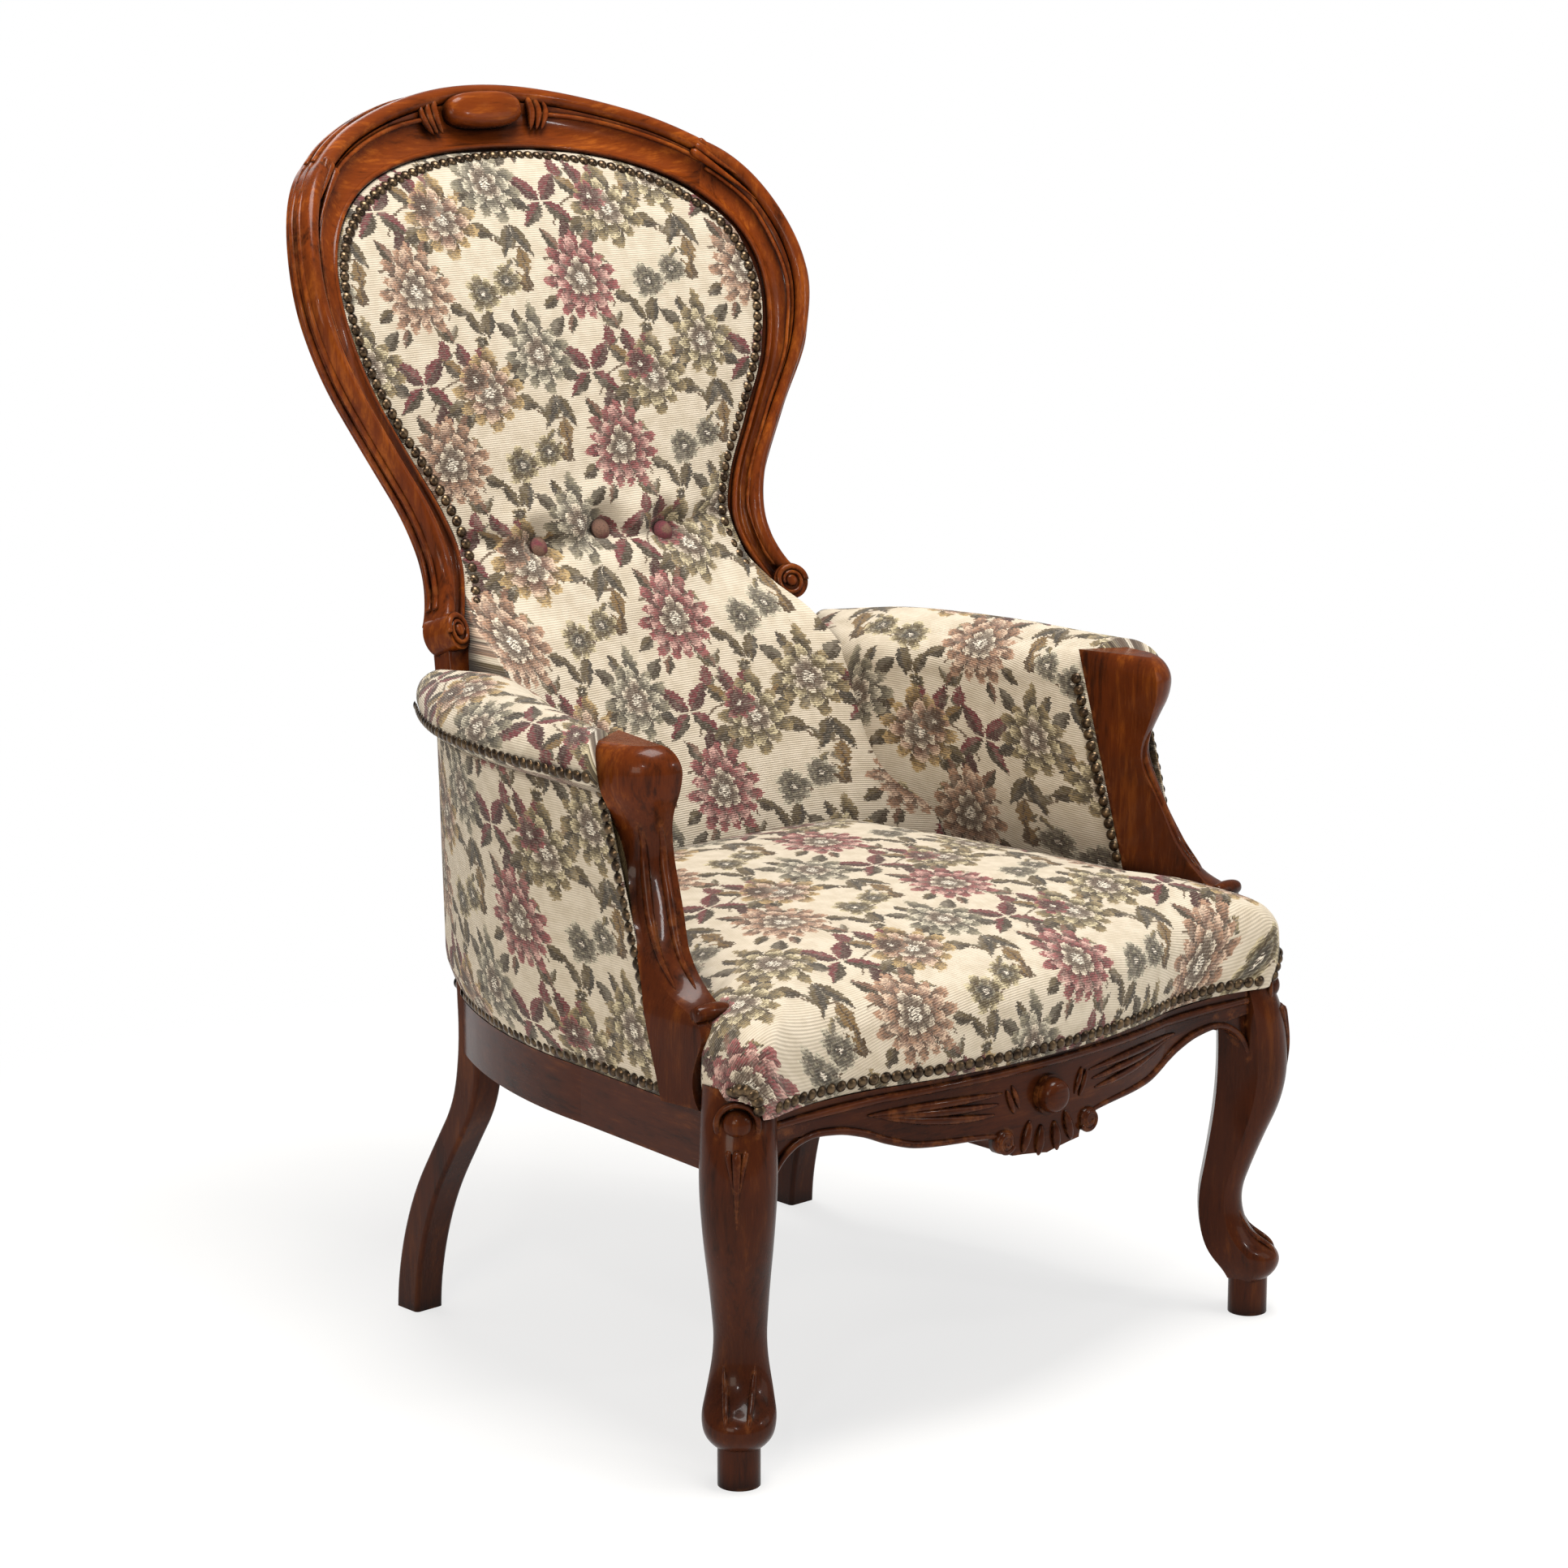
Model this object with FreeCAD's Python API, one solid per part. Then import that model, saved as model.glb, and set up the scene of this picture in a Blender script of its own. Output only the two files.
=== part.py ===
import FreeCAD, Part
import math
import os

# Bergere armchair in millimetres: +Z up, the front of the seat faces -Y, and the origin lies on the
# floor below the middle of the chair. Right-hand pieces are modelled at +X and mirrored to -X.

# Seat frame
RAIL_TOP = 306.0
RAIL_DEPTH = 48.0
RAIL_THICKNESS = 28.0
TACK_STRIP = 12.0
TACK_REBATE = 3.0
LEDGE_HEIGHT = 14.0
LEDGE_WIDTH = 14.0
LEDGE_DROP = 8.0
SIDE_BOW = 17.0
BACK_RAIL_BOW = 47.0
FRONT_RAIL_BOW = 23.0
BOSS_RADIUS = 17.0
BOSS_PROUD = 12.0

# Legs
FRONT_LEG_X = 309.0
FRONT_LEG_Y = -335.0
REAR_LEG_X = 230.0
REAR_LEG_Y = 89.0
REAR_LEG_RAKE = 93.0
REAR_LEG_SIZE = 30.0
UPRIGHT_TOP_SIZE = 24.0
PEG_RADIUS = 17.5
PEG_HEIGHT = 36.0
KNEE_BLOCK_RISE = 24.0
KNEE_BALL_RADIUS = 13.0

# Arms
ARM_RISE = 247.0
ARM_ROLL_HEIGHT = 38.0
ARM_BOW = 18.0
POST_LEAN = 0.30
ARM_REAR_LEAN = 0.20
POST_SKEW = 0.55
POST_THICKNESS = 62.0
ARM_RAIL_WIDTH = 26.0
ARM_RAIL_HEIGHT = 22.0
ROLL_OVERHANG = 14.0

# Back
BACK_RISE = 773.0
BACK_SLOPE = 0.38
BACK_SET = 273.0
BACK_PLAN_RADIUS = 575.0
FRAME_THICKNESS = 26.0
REBATE_WIDTH = 10.0
REBATE_DEPTH = 8.6
VOLUTE_RADIUS = 17.0
LOWER_BACK_HALF = 178.0
BUTTON_RADIUS = 10.0
BUTTON_SKIRT = 2.0
BUTTON_RISE = 4.0
BUTTON_SPACING = 73.0
BUTTON_DROP = 402.0
DIMPLE_RADIUS = 34.0
DIMPLE_DEPTH = 9.0

# Upholstery
FABRIC = 2.0
CLEARANCE = 0.3
STUFFING_DEPTH = 14.0
ARM_STUFFING = 30.0
SEAT_EDGE_ROLL = 62.0
SPRING_HEIGHT = 84.0
SPRING_RADIUS = 36.0
SPRING_WAIST = 26.0
SPRING_WIRE = 3.2
SPRING_TURNS = 5
SPRING_PITCH_X = 112.0
SPRING_PITCH_Y = 96.0
WEBBING_WIDTH = 50.0
WEBBING_THICKNESS = 1.3
HESSIAN = 1.2

# Fixings
NAIL_RADIUS = 5.0
NAIL_HEIGHT = 3.2
NAIL_SKIRT = 0.4
NAIL_SPACING = 10.2
DOWEL_RADIUS = 5.0
DOWEL_LENGTH = 44.0
BLOCK_SIZE = 52.0
BLOCK_HEIGHT = 14.0
SCREW_RADIUS = 2.5
SCREW_HEAD_RADIUS = 4.5
SCREW_HEAD_HEIGHT = 2.5
SCREW_LENGTH = 14.0

# Heights that follow from the sizes above
RAIL_BOTTOM = RAIL_TOP - RAIL_DEPTH
LEDGE_TOP = RAIL_TOP - LEDGE_DROP
ARM_LINE = RAIL_TOP + ARM_RISE
ARM_TOP = ARM_LINE + ARM_ROLL_HEIGHT
BACK_TOP = RAIL_TOP + BACK_RISE
BACK_TOP_Y = REAR_LEG_Y + BACK_SET
KNOB_X = FRONT_LEG_X - 7.0
KNOB_Y = FRONT_LEG_Y + 120.0
ARM_FRONT_X = FRONT_LEG_X + 25.0
ARM_FRONT_Y = KNOB_Y + 21.0
BUTTON_Z = BACK_TOP - BUTTON_DROP
WEBBING_TOP = LEDGE_TOP + 2 * (WEBBING_THICKNESS + CLEARANCE)
HESSIAN_BOTTOM = WEBBING_TOP + SPRING_HEIGHT + 2 * CLEARANCE
DIAGONAL = math.sqrt(0.5)
PARTS = "parts"


def vec(x, y, z=0.0):
    return FreeCAD.Vector(x, y, z)


def closed(start, *steps):
    """Closed wire: a step is the end of a line, or the middle and the end of an arc."""
    edges = []
    at = start
    for step in steps:
        if isinstance(step, tuple):
            edges.append(Part.Arc(at, step[0], step[1]).toShape())
            at = step[1]
        else:
            edges.append(Part.LineSegment(at, step).toShape())
            at = step
    if at.distanceToPoint(start) > 1e-6:
        edges.append(Part.LineSegment(at, start).toShape())
    return Part.Wire(edges)


def prism(wire, height):
    return Part.Face(wire).extrude(vec(0, 0, height))


def loft(wires):
    """Solid through closed wires, with surfaces of second degree so that they don't overshoot."""
    return Part.makeLoft(wires, True, False, False, 2)


def mirrored(shape):
    return shape.mirror(vec(0, 0), vec(1, 0))


def union(first, *others):
    return first.fuse(list(others)).removeSplitter()


def main_piece(shape):
    """The largest solid left after a cut."""
    return max(shape.Solids, key=lambda solid: solid.Volume)


def save(name, shape):
    shape.exportStep(os.path.join(PARTS, name + ".step"))


def save_pair(name, right):
    save(name + "_right", right)
    save(name + "_left", mirrored(right))


# Plan curves


class SideCurve:
    """A straight run from the front, then an arc bowed outwards to the rear corner."""

    def __init__(self, front, bend, rear, bow):
        chord = rear - bend
        outward = vec(chord.y, -chord.x).normalize()
        middle = (bend + rear) * 0.5 + outward * bow
        run = bend - front
        self.front = front
        self.front_inward = vec(-run.y, run.x).normalize()
        self.bend = bend
        self.middle = middle
        self.rear = rear
        self.bow = Part.Arc(bend, middle, rear).toShape()

    def pulled(self, point, inset):
        circle = self.bow.Curve
        share = (circle.Radius - inset) / circle.Radius
        return circle.Center + (point - circle.Center) * share

    def on_bow(self, share):
        first, last = self.bow.ParameterRange
        return self.bow.valueAt(first + (last - first) * share)

    def points(self, inset, z):
        flat = [
            self.front + self.front_inward * inset,
            self.pulled(self.bend, inset),
            self.pulled(self.middle, inset),
            self.pulled(self.rear, inset),
        ]
        return [vec(p.x, p.y, z) for p in flat]

    def band(self, outer, inner, z):
        a = self.points(outer, z)
        b = self.points(inner, z)
        return closed(a[0], a[1], (a[2], a[3]), b[3], (b[2], b[1]), b[0])


SIDE = SideCurve(
    vec(FRONT_LEG_X + 13, FRONT_LEG_Y + 10),
    vec(FRONT_LEG_X - 2, FRONT_LEG_Y + 195),
    vec(REAR_LEG_X + 2, REAR_LEG_Y + 26),
    SIDE_BOW,
)
ARM = SideCurve(
    vec(ARM_FRONT_X, ARM_FRONT_Y),
    vec(FRONT_LEG_X + 22, FRONT_LEG_Y + 255),
    vec(REAR_LEG_X + 20, REAR_LEG_Y + 45),
    ARM_BOW,
)


def post_rear_y(x, z):
    """Slanting plane where the arm's upholstery ends against the post."""
    return ARM_FRONT_Y - POST_LEAN * (ARM_LINE - z) + POST_SKEW * (ARM_FRONT_X - x)


def back_y(x, z):
    """Front surface of the reclined, wrapped back frame."""
    wrap = BACK_PLAN_RADIUS - math.sqrt(BACK_PLAN_RADIUS**2 - x * x)
    return BACK_TOP_Y - BACK_SLOPE * (BACK_TOP - z) - wrap


def back_normal(x):
    slope_x = -x / math.sqrt(BACK_PLAN_RADIUS**2 - x * x)
    return vec(slope_x, -1, BACK_SLOPE).normalize()


def on_back(x, z, lift=0.0):
    return vec(x, back_y(x, z), z) + back_normal(x) * lift


# Legs

# Share of the rail height, inner edge, outer edge and width; edges run along the outward diagonal.
FRONT_LEG_LEVELS = [
    (0.108, -19, 17, 40),
    (0.150, -27, 27, 57),
    (0.195, -37, 23, 60),
    (0.260, -44, 1, 52),
    (0.350, -46, -7, 44),
    (0.490, -40, 5, 47),
    (0.676, -33, 27, 57),
    (0.800, -32, 30, 62),
    (0.900, -33, 26, 62),
    (0.990, -34, 16, 60),
]


def leg_point(s, t, z):
    return vec(
        FRONT_LEG_X + DIAGONAL * (s + t), FRONT_LEG_Y + DIAGONAL * (t - s), z
    )


def front_leg_section(inner, outer, width, z):
    shoulder = inner + 0.55 * (outer - inner)
    half = width / 2
    flat = 0.22 * width
    return closed(
        leg_point(inner, -flat, z),
        leg_point(inner, flat, z),
        leg_point(shoulder, half, z),
        (leg_point(outer, 0, z), leg_point(shoulder, -half, z)),
    )


def front_leg():
    sections = [
        front_leg_section(inner, outer, width, share * RAIL_TOP)
        for share, inner, outer, width in FRONT_LEG_LEVELS
    ]
    sections.append(front_leg_section(-34, 8, 58, RAIL_TOP + KNEE_BLOCK_RISE))
    peg = Part.makeCylinder(PEG_RADIUS, PEG_HEIGHT, vec(FRONT_LEG_X, FRONT_LEG_Y, 0))
    return union(loft(sections), peg, knee_ball())


def knee_ball():
    return Part.makeSphere(KNEE_BALL_RADIUS, leg_point(9, 0, RAIL_TOP - 3))


# Share of the rail height, and share of the rake that the leg has gone back by there.
REAR_LEG_LEVELS = [
    (0.0, 1.0),
    (0.10, 0.97),
    (0.27, 0.83),
    (0.41, 0.63),
    (0.56, 0.33),
    (0.70, 0.08),
    (0.82, 0.0),
    (1.04, 0.0),
]


def square_section(x, y, z, size):
    half = size / 2
    ease = size / 8
    flat = half - ease
    corner = half - ease * (1 - DIAGONAL)
    return closed(
        vec(x - flat, y - half, z),
        vec(x + flat, y - half, z),
        (vec(x + corner, y - corner, z), vec(x + half, y - flat, z)),
        vec(x + half, y + flat, z),
        (vec(x + corner, y + corner, z), vec(x + flat, y + half, z)),
        vec(x - flat, y + half, z),
        (vec(x - corner, y + corner, z), vec(x - half, y + flat, z)),
        vec(x - half, y - flat, z),
        (vec(x - corner, y - corner, z), vec(x - flat, y - half, z)),
    )


def upright_centre(share):
    """Middle line of the upright from the rail (0) to the foot of the stile (1)."""
    foot = vec(REAR_LEG_X, REAR_LEG_Y + 2, RAIL_TOP + TACK_STRIP)
    top_z = BACK_TOP - 455
    top = on_back(VOLUTE_X - 9, top_z, -FRAME_THICKNESS / 2)
    lean = vec(0, 14 * (share - share * share), 0)
    return foot + (top - foot) * share - lean


def upright_room():
    """Room kept free round the leg's head and the upright, with straight sides between levels."""
    foot = vec(REAR_LEG_X, REAR_LEG_Y, RAIL_BOTTOM)
    wires = [room_section(foot, REAR_LEG_SIZE)]
    for share in (0.0, 0.3, 0.6, 0.8, 1.0):
        size = REAR_LEG_SIZE + (UPRIGHT_TOP_SIZE - REAR_LEG_SIZE) * share
        wires.append(room_section(upright_centre(share), size))
    return Part.makeLoft(wires, True, True)


def room_section(at, size):
    half = size / 2 + 8 * CLEARANCE
    return closed(
        vec(at.x - half, at.y - half, at.z),
        vec(at.x + half, at.y - half, at.z),
        vec(at.x + half, at.y + half, at.z),
        vec(at.x - half, at.y + half, at.z),
    )


def rear_leg():
    sections = [
        square_section(
            REAR_LEG_X, REAR_LEG_Y + back * REAR_LEG_RAKE, share * RAIL_TOP, REAR_LEG_SIZE
        )
        for share, back in REAR_LEG_LEVELS
    ]
    for share in (0.3, 0.6, 0.8, 1.0):
        at = upright_centre(share)
        size = REAR_LEG_SIZE + (UPRIGHT_TOP_SIZE - REAR_LEG_SIZE) * share
        sections.append(square_section(at.x, at.y, at.z, size))
    return loft(sections)


# Seat frame


def side_rail():
    body = prism(SIDE.band(0, RAIL_THICKNESS, RAIL_BOTTOM), RAIL_DEPTH)
    tack = prism(SIDE.band(TACK_REBATE, RAIL_THICKNESS, RAIL_TOP), TACK_STRIP)
    ledge = prism(
        SIDE.band(RAIL_THICKNESS, RAIL_THICKNESS + LEDGE_WIDTH, LEDGE_TOP - LEDGE_HEIGHT),
        LEDGE_HEIGHT,
    )
    return union(body, tack, ledge)


def back_rail_band(outer, inner, z):
    x = REAR_LEG_X
    y = REAR_LEG_Y + 26
    return closed(
        vec(x, y - outer, z),
        (vec(0, y + BACK_RAIL_BOW - outer, z), vec(-x, y - outer, z)),
        vec(-x, y - inner, z),
        (vec(0, y + BACK_RAIL_BOW - inner, z), vec(x, y - inner, z)),
    )


def back_rail():
    body = prism(back_rail_band(0, RAIL_THICKNESS, RAIL_BOTTOM), RAIL_DEPTH)
    tack = prism(back_rail_band(TACK_REBATE, RAIL_THICKNESS, RAIL_TOP), TACK_STRIP)
    ledge = prism(
        back_rail_band(
            RAIL_THICKNESS, RAIL_THICKNESS + LEDGE_WIDTH, LEDGE_TOP - LEDGE_HEIGHT
        ),
        LEDGE_HEIGHT,
    )
    return union(body, tack, ledge)


FRONT_FACE_Y = FRONT_LEG_Y - 19.0
FRONT_INNER_Y = FRONT_LEG_Y + 13.0
FRONT_END_X = FRONT_LEG_X - 23.0
FRONT_WAVE_X = 0.55 * FRONT_LEG_X


def front_rail_plan(set_back, z):
    y = FRONT_FACE_Y + set_back
    wave_mid = (FRONT_WAVE_X + FRONT_END_X) / 2
    return closed(
        vec(-FRONT_WAVE_X, y, z),
        (vec(0, y - FRONT_RAIL_BOW, z), vec(FRONT_WAVE_X, y, z)),
        (vec(wave_mid, y + 6, z), vec(FRONT_END_X, y + 4, z)),
        vec(FRONT_END_X, FRONT_INNER_Y, z),
        vec(-FRONT_END_X, FRONT_INNER_Y, z),
        vec(-FRONT_END_X, y + 4, z),
        (vec(-wave_mid, y + 6, z), vec(-FRONT_WAVE_X, y, z)),
    )


def front_rail_elevation():
    """Serpentine lower edge, with the carved apron in the middle."""
    top = RAIL_TOP + TACK_STRIP
    y = FRONT_INNER_Y + 1

    def at(x, drop):
        return vec(x, y, RAIL_TOP - drop)

    def half(sign):
        return [
            (at(sign * 28, 80), at(sign * 40, 79)),
            (at(sign * 47, 65), at(sign * 62, 60)),
            at(sign * 138, 54),
            (at(sign * 164, 46), at(sign * 188, 35)),
            (at(sign * 226, 27), at(sign * 262, 24)),
            at(sign * FRONT_END_X, 22),
        ]

    right = half(1)
    ends = [step[1] if isinstance(step, tuple) else step for step in half(-1)]
    middles = [step[0] if isinstance(step, tuple) else None for step in half(-1)]
    back_home = []
    for index in range(len(ends) - 1, 0, -1):
        middle = middles[index]
        back_home.append(ends[index - 1] if middle is None else (middle, ends[index - 1]))
    back_home.append((middles[0], at(0, 84)))
    wire = closed(
        at(0, 84),
        *right,
        vec(FRONT_END_X, y, top),
        vec(-FRONT_END_X, y, top),
        ends[-1],
        *back_home,
    )
    return Part.Face(wire).extrude(vec(0, -90, 0))


def front_rail():
    base = RAIL_BOTTOM - 60
    body = prism(front_rail_plan(0, base), RAIL_TOP - base)
    tack = prism(front_rail_plan(TACK_REBATE, RAIL_TOP), TACK_STRIP)
    rail = union(body, tack).common(front_rail_elevation())
    ledge = Part.makeBox(
        2 * FRONT_END_X - 100,
        LEDGE_WIDTH,
        LEDGE_HEIGHT,
        vec(50 - FRONT_END_X, FRONT_INNER_Y, LEDGE_TOP - LEDGE_HEIGHT),
    )
    return union(rail, ledge, front_boss())


def front_boss():
    """Round carved boss: a dome in a raised ring."""
    y = FRONT_FACE_Y - FRONT_RAIL_BOW
    z = RAIL_TOP - 33
    ring = Part.makeCylinder(BOSS_RADIUS, 10, vec(0, y + 6, z), vec(0, -1, 0))
    dome_radius = BOSS_RADIUS * 0.75
    dome = Part.makeSphere(dome_radius, vec(0, y - BOSS_PROUD + dome_radius, z))
    return union(ring, dome)


def corner_block(corner, along_x, along_y):
    z = LEDGE_TOP - BLOCK_HEIGHT
    wire = closed(
        vec(corner.x, corner.y, z),
        vec(corner.x + along_x * BLOCK_SIZE, corner.y, z),
        vec(corner.x, corner.y + along_y * BLOCK_SIZE, z),
    )
    return prism(wire, BLOCK_HEIGHT)


def corner_block_screw(corner, along_x, along_y):
    """Screw driven square to the block's long face, towards the leg."""
    z = LEDGE_TOP - BLOCK_HEIGHT / 2
    inward = vec(along_x, along_y).normalize()
    face = vec(corner.x, corner.y, z) + inward * (BLOCK_SIZE * DIAGONAL)
    shank = Part.makeCylinder(SCREW_RADIUS, SCREW_LENGTH, face, inward * -1)
    head = Part.makeCylinder(SCREW_HEAD_RADIUS, SCREW_HEAD_HEIGHT, face, inward)
    return union(shank, head)


# Arm posts

# Height above the rail, outer and inner front corner from the knob's centre, and the front's swell.
POST_LEVELS = [
    (2, (22, -90), (-12, -90), 3),
    (44, (22, -88), (-12, -89), 3),
    (76, (20, -80), (-11, -86), 4),
    (92, (16, -42), (-10, -63), 4),
    (114, (13, -20), (-13, -42), 4),
    (149, (6, 1), (-19, -26), 4),
    (194, (0, 12), (-25, -8), 4),
    (217, (8, 12), (-21, -12), 6),
    (242, (20, 15), (-21, -21), 11),
    (258, (21, 16), (-22, -23), 13),
    (272, (16, 18), (-20, -17), 11),
    (279, (6, 22), (-14, -7), 7),
]


def post_section(rise, outer, inner, swell):
    z = RAIL_TOP + rise
    front_out = vec(KNOB_X + outer[0], KNOB_Y + outer[1], z)
    front_in = vec(KNOB_X + inner[0], KNOB_Y + inner[1], z)
    across = front_in - front_out
    forward = vec(-across.y, across.x).normalize()
    nose = (front_out + front_in) * 0.5 + forward * swell
    rear_out = front_out.x + 4
    rear_in = ARM_FRONT_X - POST_THICKNESS
    return closed(
        front_out,
        (nose, front_in),
        vec(rear_in, post_rear_y(rear_in, z), z),
        vec(rear_out, post_rear_y(rear_out, z), z),
    )


def arm_post():
    return loft([post_section(*level) for level in POST_LEVELS])


def arm_rail():
    """Hidden bar under the arm roll, from the post to the upright."""
    z = ARM_LINE - 10 - ARM_RAIL_HEIGHT
    start = vec(KNOB_X - 16, KNOB_Y + 22, z)
    share = (z - RAIL_TOP - TACK_STRIP) / (BACK_TOP - 455 - RAIL_TOP - TACK_STRIP)
    end = upright_centre(share)
    end.z = z
    chord = end - start
    outward = vec(chord.y, -chord.x).normalize()
    middle = (start + end) * 0.5 + outward * (2 * ARM_BOW)
    bend = Part.Arc(start, middle, end).toShape().Curve

    def side(point, shift):
        return bend.Center + (point - bend.Center) * ((bend.Radius + shift) / bend.Radius)

    half = ARM_RAIL_WIDTH / 2
    wire = closed(
        side(start, half),
        (side(middle, half), side(end, half)),
        side(end, -half),
        (side(middle, -half), side(start, -half)),
    )
    return prism(wire, ARM_RAIL_HEIGHT)


# Back frame

# Inner and outer edge of the moulding on the back's surface, as half-width and drop from the crest.
FRAME_STATIONS = [
    ((0, 58), (0, 0)),
    ((100, 65), (99, 11)),
    ((168, 83), (174, 32)),
    ((206, 105), (224, 57)),
    ((237, 144), (270, 108)),
    ((244, 189), (285, 174)),
    ((232, 247), (271, 234)),
    ((200, 311), (235, 300)),
    ((170, 367), (201, 365)),
    ((162, 394), (194, 394)),
    ((167, 429), (198, 427)),
    ((182, 461), (211, 449)),
]
CREST_STATION = 3
VOLUTE_X = FRAME_STATIONS[-1][1][0] - 12.0
VOLUTE_DROP = FRAME_STATIONS[-1][1][1] + 11.0


def frame_section(station, sign=1):
    (inner_x, inner_drop), (outer_x, outer_drop) = station
    inner = on_back(sign * inner_x, BACK_TOP - inner_drop)
    outer = on_back(sign * outer_x, BACK_TOP - outer_drop)
    across = outer - inner
    width = across.Length
    across.normalize()
    lift = back_normal(sign * (inner_x + outer_x) / 2)
    lift = (lift - across * lift.dot(across)).normalize()

    def at(u, h):
        return inner + across * u + lift * h

    return closed(
        at(-REBATE_WIDTH, -FRAME_THICKNESS),
        at(-REBATE_WIDTH, -REBATE_DEPTH),
        at(0, -REBATE_DEPTH),
        at(0, -5),
        (at(3, -2.5), at(6, -4.5)),
        (at(width * 0.36, -8.5), at(width - 17, -3.5)),
        at(width - 16, -6),
        (at(width - 8, 1), at(width, -8)),
        at(width, -FRAME_THICKNESS),
    )


def crest_rail():
    left = [frame_section(s, -1) for s in FRAME_STATIONS[CREST_STATION:0:-1]]
    right = [frame_section(s) for s in FRAME_STATIONS[: CREST_STATION + 1]]
    return union(loft(left + right), cartouche())


def cartouche():
    """Long oval boss carved on the middle of the crest."""
    middle = on_back(0, BACK_TOP - 22, -6)
    spindle = closed(
        vec(middle.x - 43, middle.y, middle.z),
        (vec(middle.x, middle.y, middle.z + 14), vec(middle.x + 43, middle.y, middle.z)),
    )
    return Part.Face(spindle).revolve(middle, vec(1, 0, 0), 360)


def back_stile():
    return union(loft([frame_section(s) for s in FRAME_STATIONS[CREST_STATION:]]), volute(0))


def volute(grow):
    start = on_back(VOLUTE_X, BACK_TOP - VOLUTE_DROP, 2 + grow)
    length = FRAME_THICKNESS + 2 * grow
    return Part.makeCylinder(VOLUTE_RADIUS + grow, length, start, back_normal(VOLUTE_X) * -1)


def lower_back_rail():
    """Hidden cross rail bowed behind the stuffing, between the uprights."""
    at = upright_centre(0.36)
    height = 40
    half = REAR_LEG_SIZE / 2 - 5
    bottom = at.z - height / 2
    room = STUFFING_DEPTH + FABRIC + 2 * CLEARANCE
    middle_y = back_y(0, at.z + height / 2) + room + half
    wire = closed(
        vec(-at.x, at.y - half, bottom),
        (vec(0, middle_y - half, bottom), vec(at.x, at.y - half, bottom)),
        vec(at.x, at.y + half, bottom),
        (vec(0, middle_y + half, bottom), vec(-at.x, at.y + half, bottom)),
    )
    return prism(wire, height)


# Back upholstery

# Drop from the crest, half-width, lift of the edge and of the middle off the frame's surface.
UPPER_BACK_LEVELS = [
    (62, 48, -6.5, 2),
    (67, 97, -6.5, 8),
    (85, 165, -6.5, 17),
    (107, 203, -6.5, 24),
    (145, 235, -6.5, 31),
    (189, 243, -6.5, 35),
    (247, 231, -6.5, 36),
    (311, 199, -6.5, 34),
    (367, 169, -6.5, 30),
    (394, 161, -6.5, 27),
    (429, 166, -6.5, 35),
    (455, 177, -2, 43),
]
# Height above the rail, lift of the edge and of the middle: the part between the arms.
LOWER_BACK_LEVELS = [
    (294, 26, 47),
    (250, 37, 56),
    (174, 46, 62),
    (94, 48, 62),
    (16, 46, 56),
]


def back_levels():
    """Height, half-width, edge lift and middle lift of each level section of the back."""
    levels = [(BACK_TOP - drop, half, edge, mid) for drop, half, edge, mid in UPPER_BACK_LEVELS]
    levels += [
        (RAIL_TOP + rise, LOWER_BACK_HALF, edge, mid) for rise, edge, mid in LOWER_BACK_LEVELS
    ]
    return levels


def drawn_in(z, half, by):
    """Height and half-width of a level whose outline is drawn in towards the middle of the back."""
    turned = min(1.0, max(0.0, (BACK_TOP - 70 - z) / 70))
    return z - by * (1 - turned), half - by * (0.6 + 0.4 * turned)


def back_slab(front_shift, rear_depth, narrower, lower_narrower):
    """Crowned back between a front moved backwards and a rear behind the frame's surface."""
    sections = []
    for level_z, half, edge, mid in back_levels():
        by = narrower if level_z > ARM_TOP + 10 else lower_narrower
        z, upper = drawn_in(level_z, half, by)
        front_y = back_y(half, z) - edge + front_shift
        middle_y = back_y(0, z) - mid + front_shift
        rear_y = back_y(upper, z) + rear_depth
        rear_mid = back_y(0, z) + rear_depth
        sections.append(
            closed(
                vec(-upper, front_y, z),
                (vec(0, middle_y, z), vec(upper, front_y, z)),
                vec(upper, rear_y, z),
                (vec(0, rear_mid, z), vec(-upper, rear_y, z)),
            )
        )
    return loft(sections)


def button_points():
    return [
        (-BUTTON_SPACING, BUTTON_Z),
        (0, BUTTON_Z + 9),
        (BUTTON_SPACING, BUTTON_Z),
    ]


def dimple_axes(front):
    """Point on the back's front and outward direction at each button."""
    axes = []
    for x, z in button_points():
        start = vec(x, back_y(x, z) - 200, z)
        ray = Part.LineSegment(start, vec(x, back_y(x, z) + 5, z)).toShape()
        gap = front.distToShape(Part.Vertex(start))[0]
        hit = front.common(ray).Vertexes
        point = min((v.Point for v in hit), key=lambda p: p.y) if hit else start
        axes.append((point if gap > 0 else start, back_normal(x)))
    return axes


def dimples(axes, grow):
    reach = DIMPLE_RADIUS - DIMPLE_DEPTH
    return [Part.makeSphere(DIMPLE_RADIUS + grow, p + n * reach) for p, n in axes]


def back_upholstery():
    whole = back_slab(0, STUFFING_DEPTH, 0, 0)
    behind = back_slab(FABRIC, 60, -1, -1)
    room = 6 * CLEARANCE
    fill = back_slab(FABRIC + room, STUFFING_DEPTH, REBATE_WIDTH + room, FABRIC + room)
    axes = dimple_axes(whole)
    cover = whole.cut(dimples(axes, 0)).cut(behind.cut(dimples(axes, FABRIC)))
    stuffing = fill.cut(dimples(axes, FABRIC + CLEARANCE))
    return cover, stuffing, axes


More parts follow.
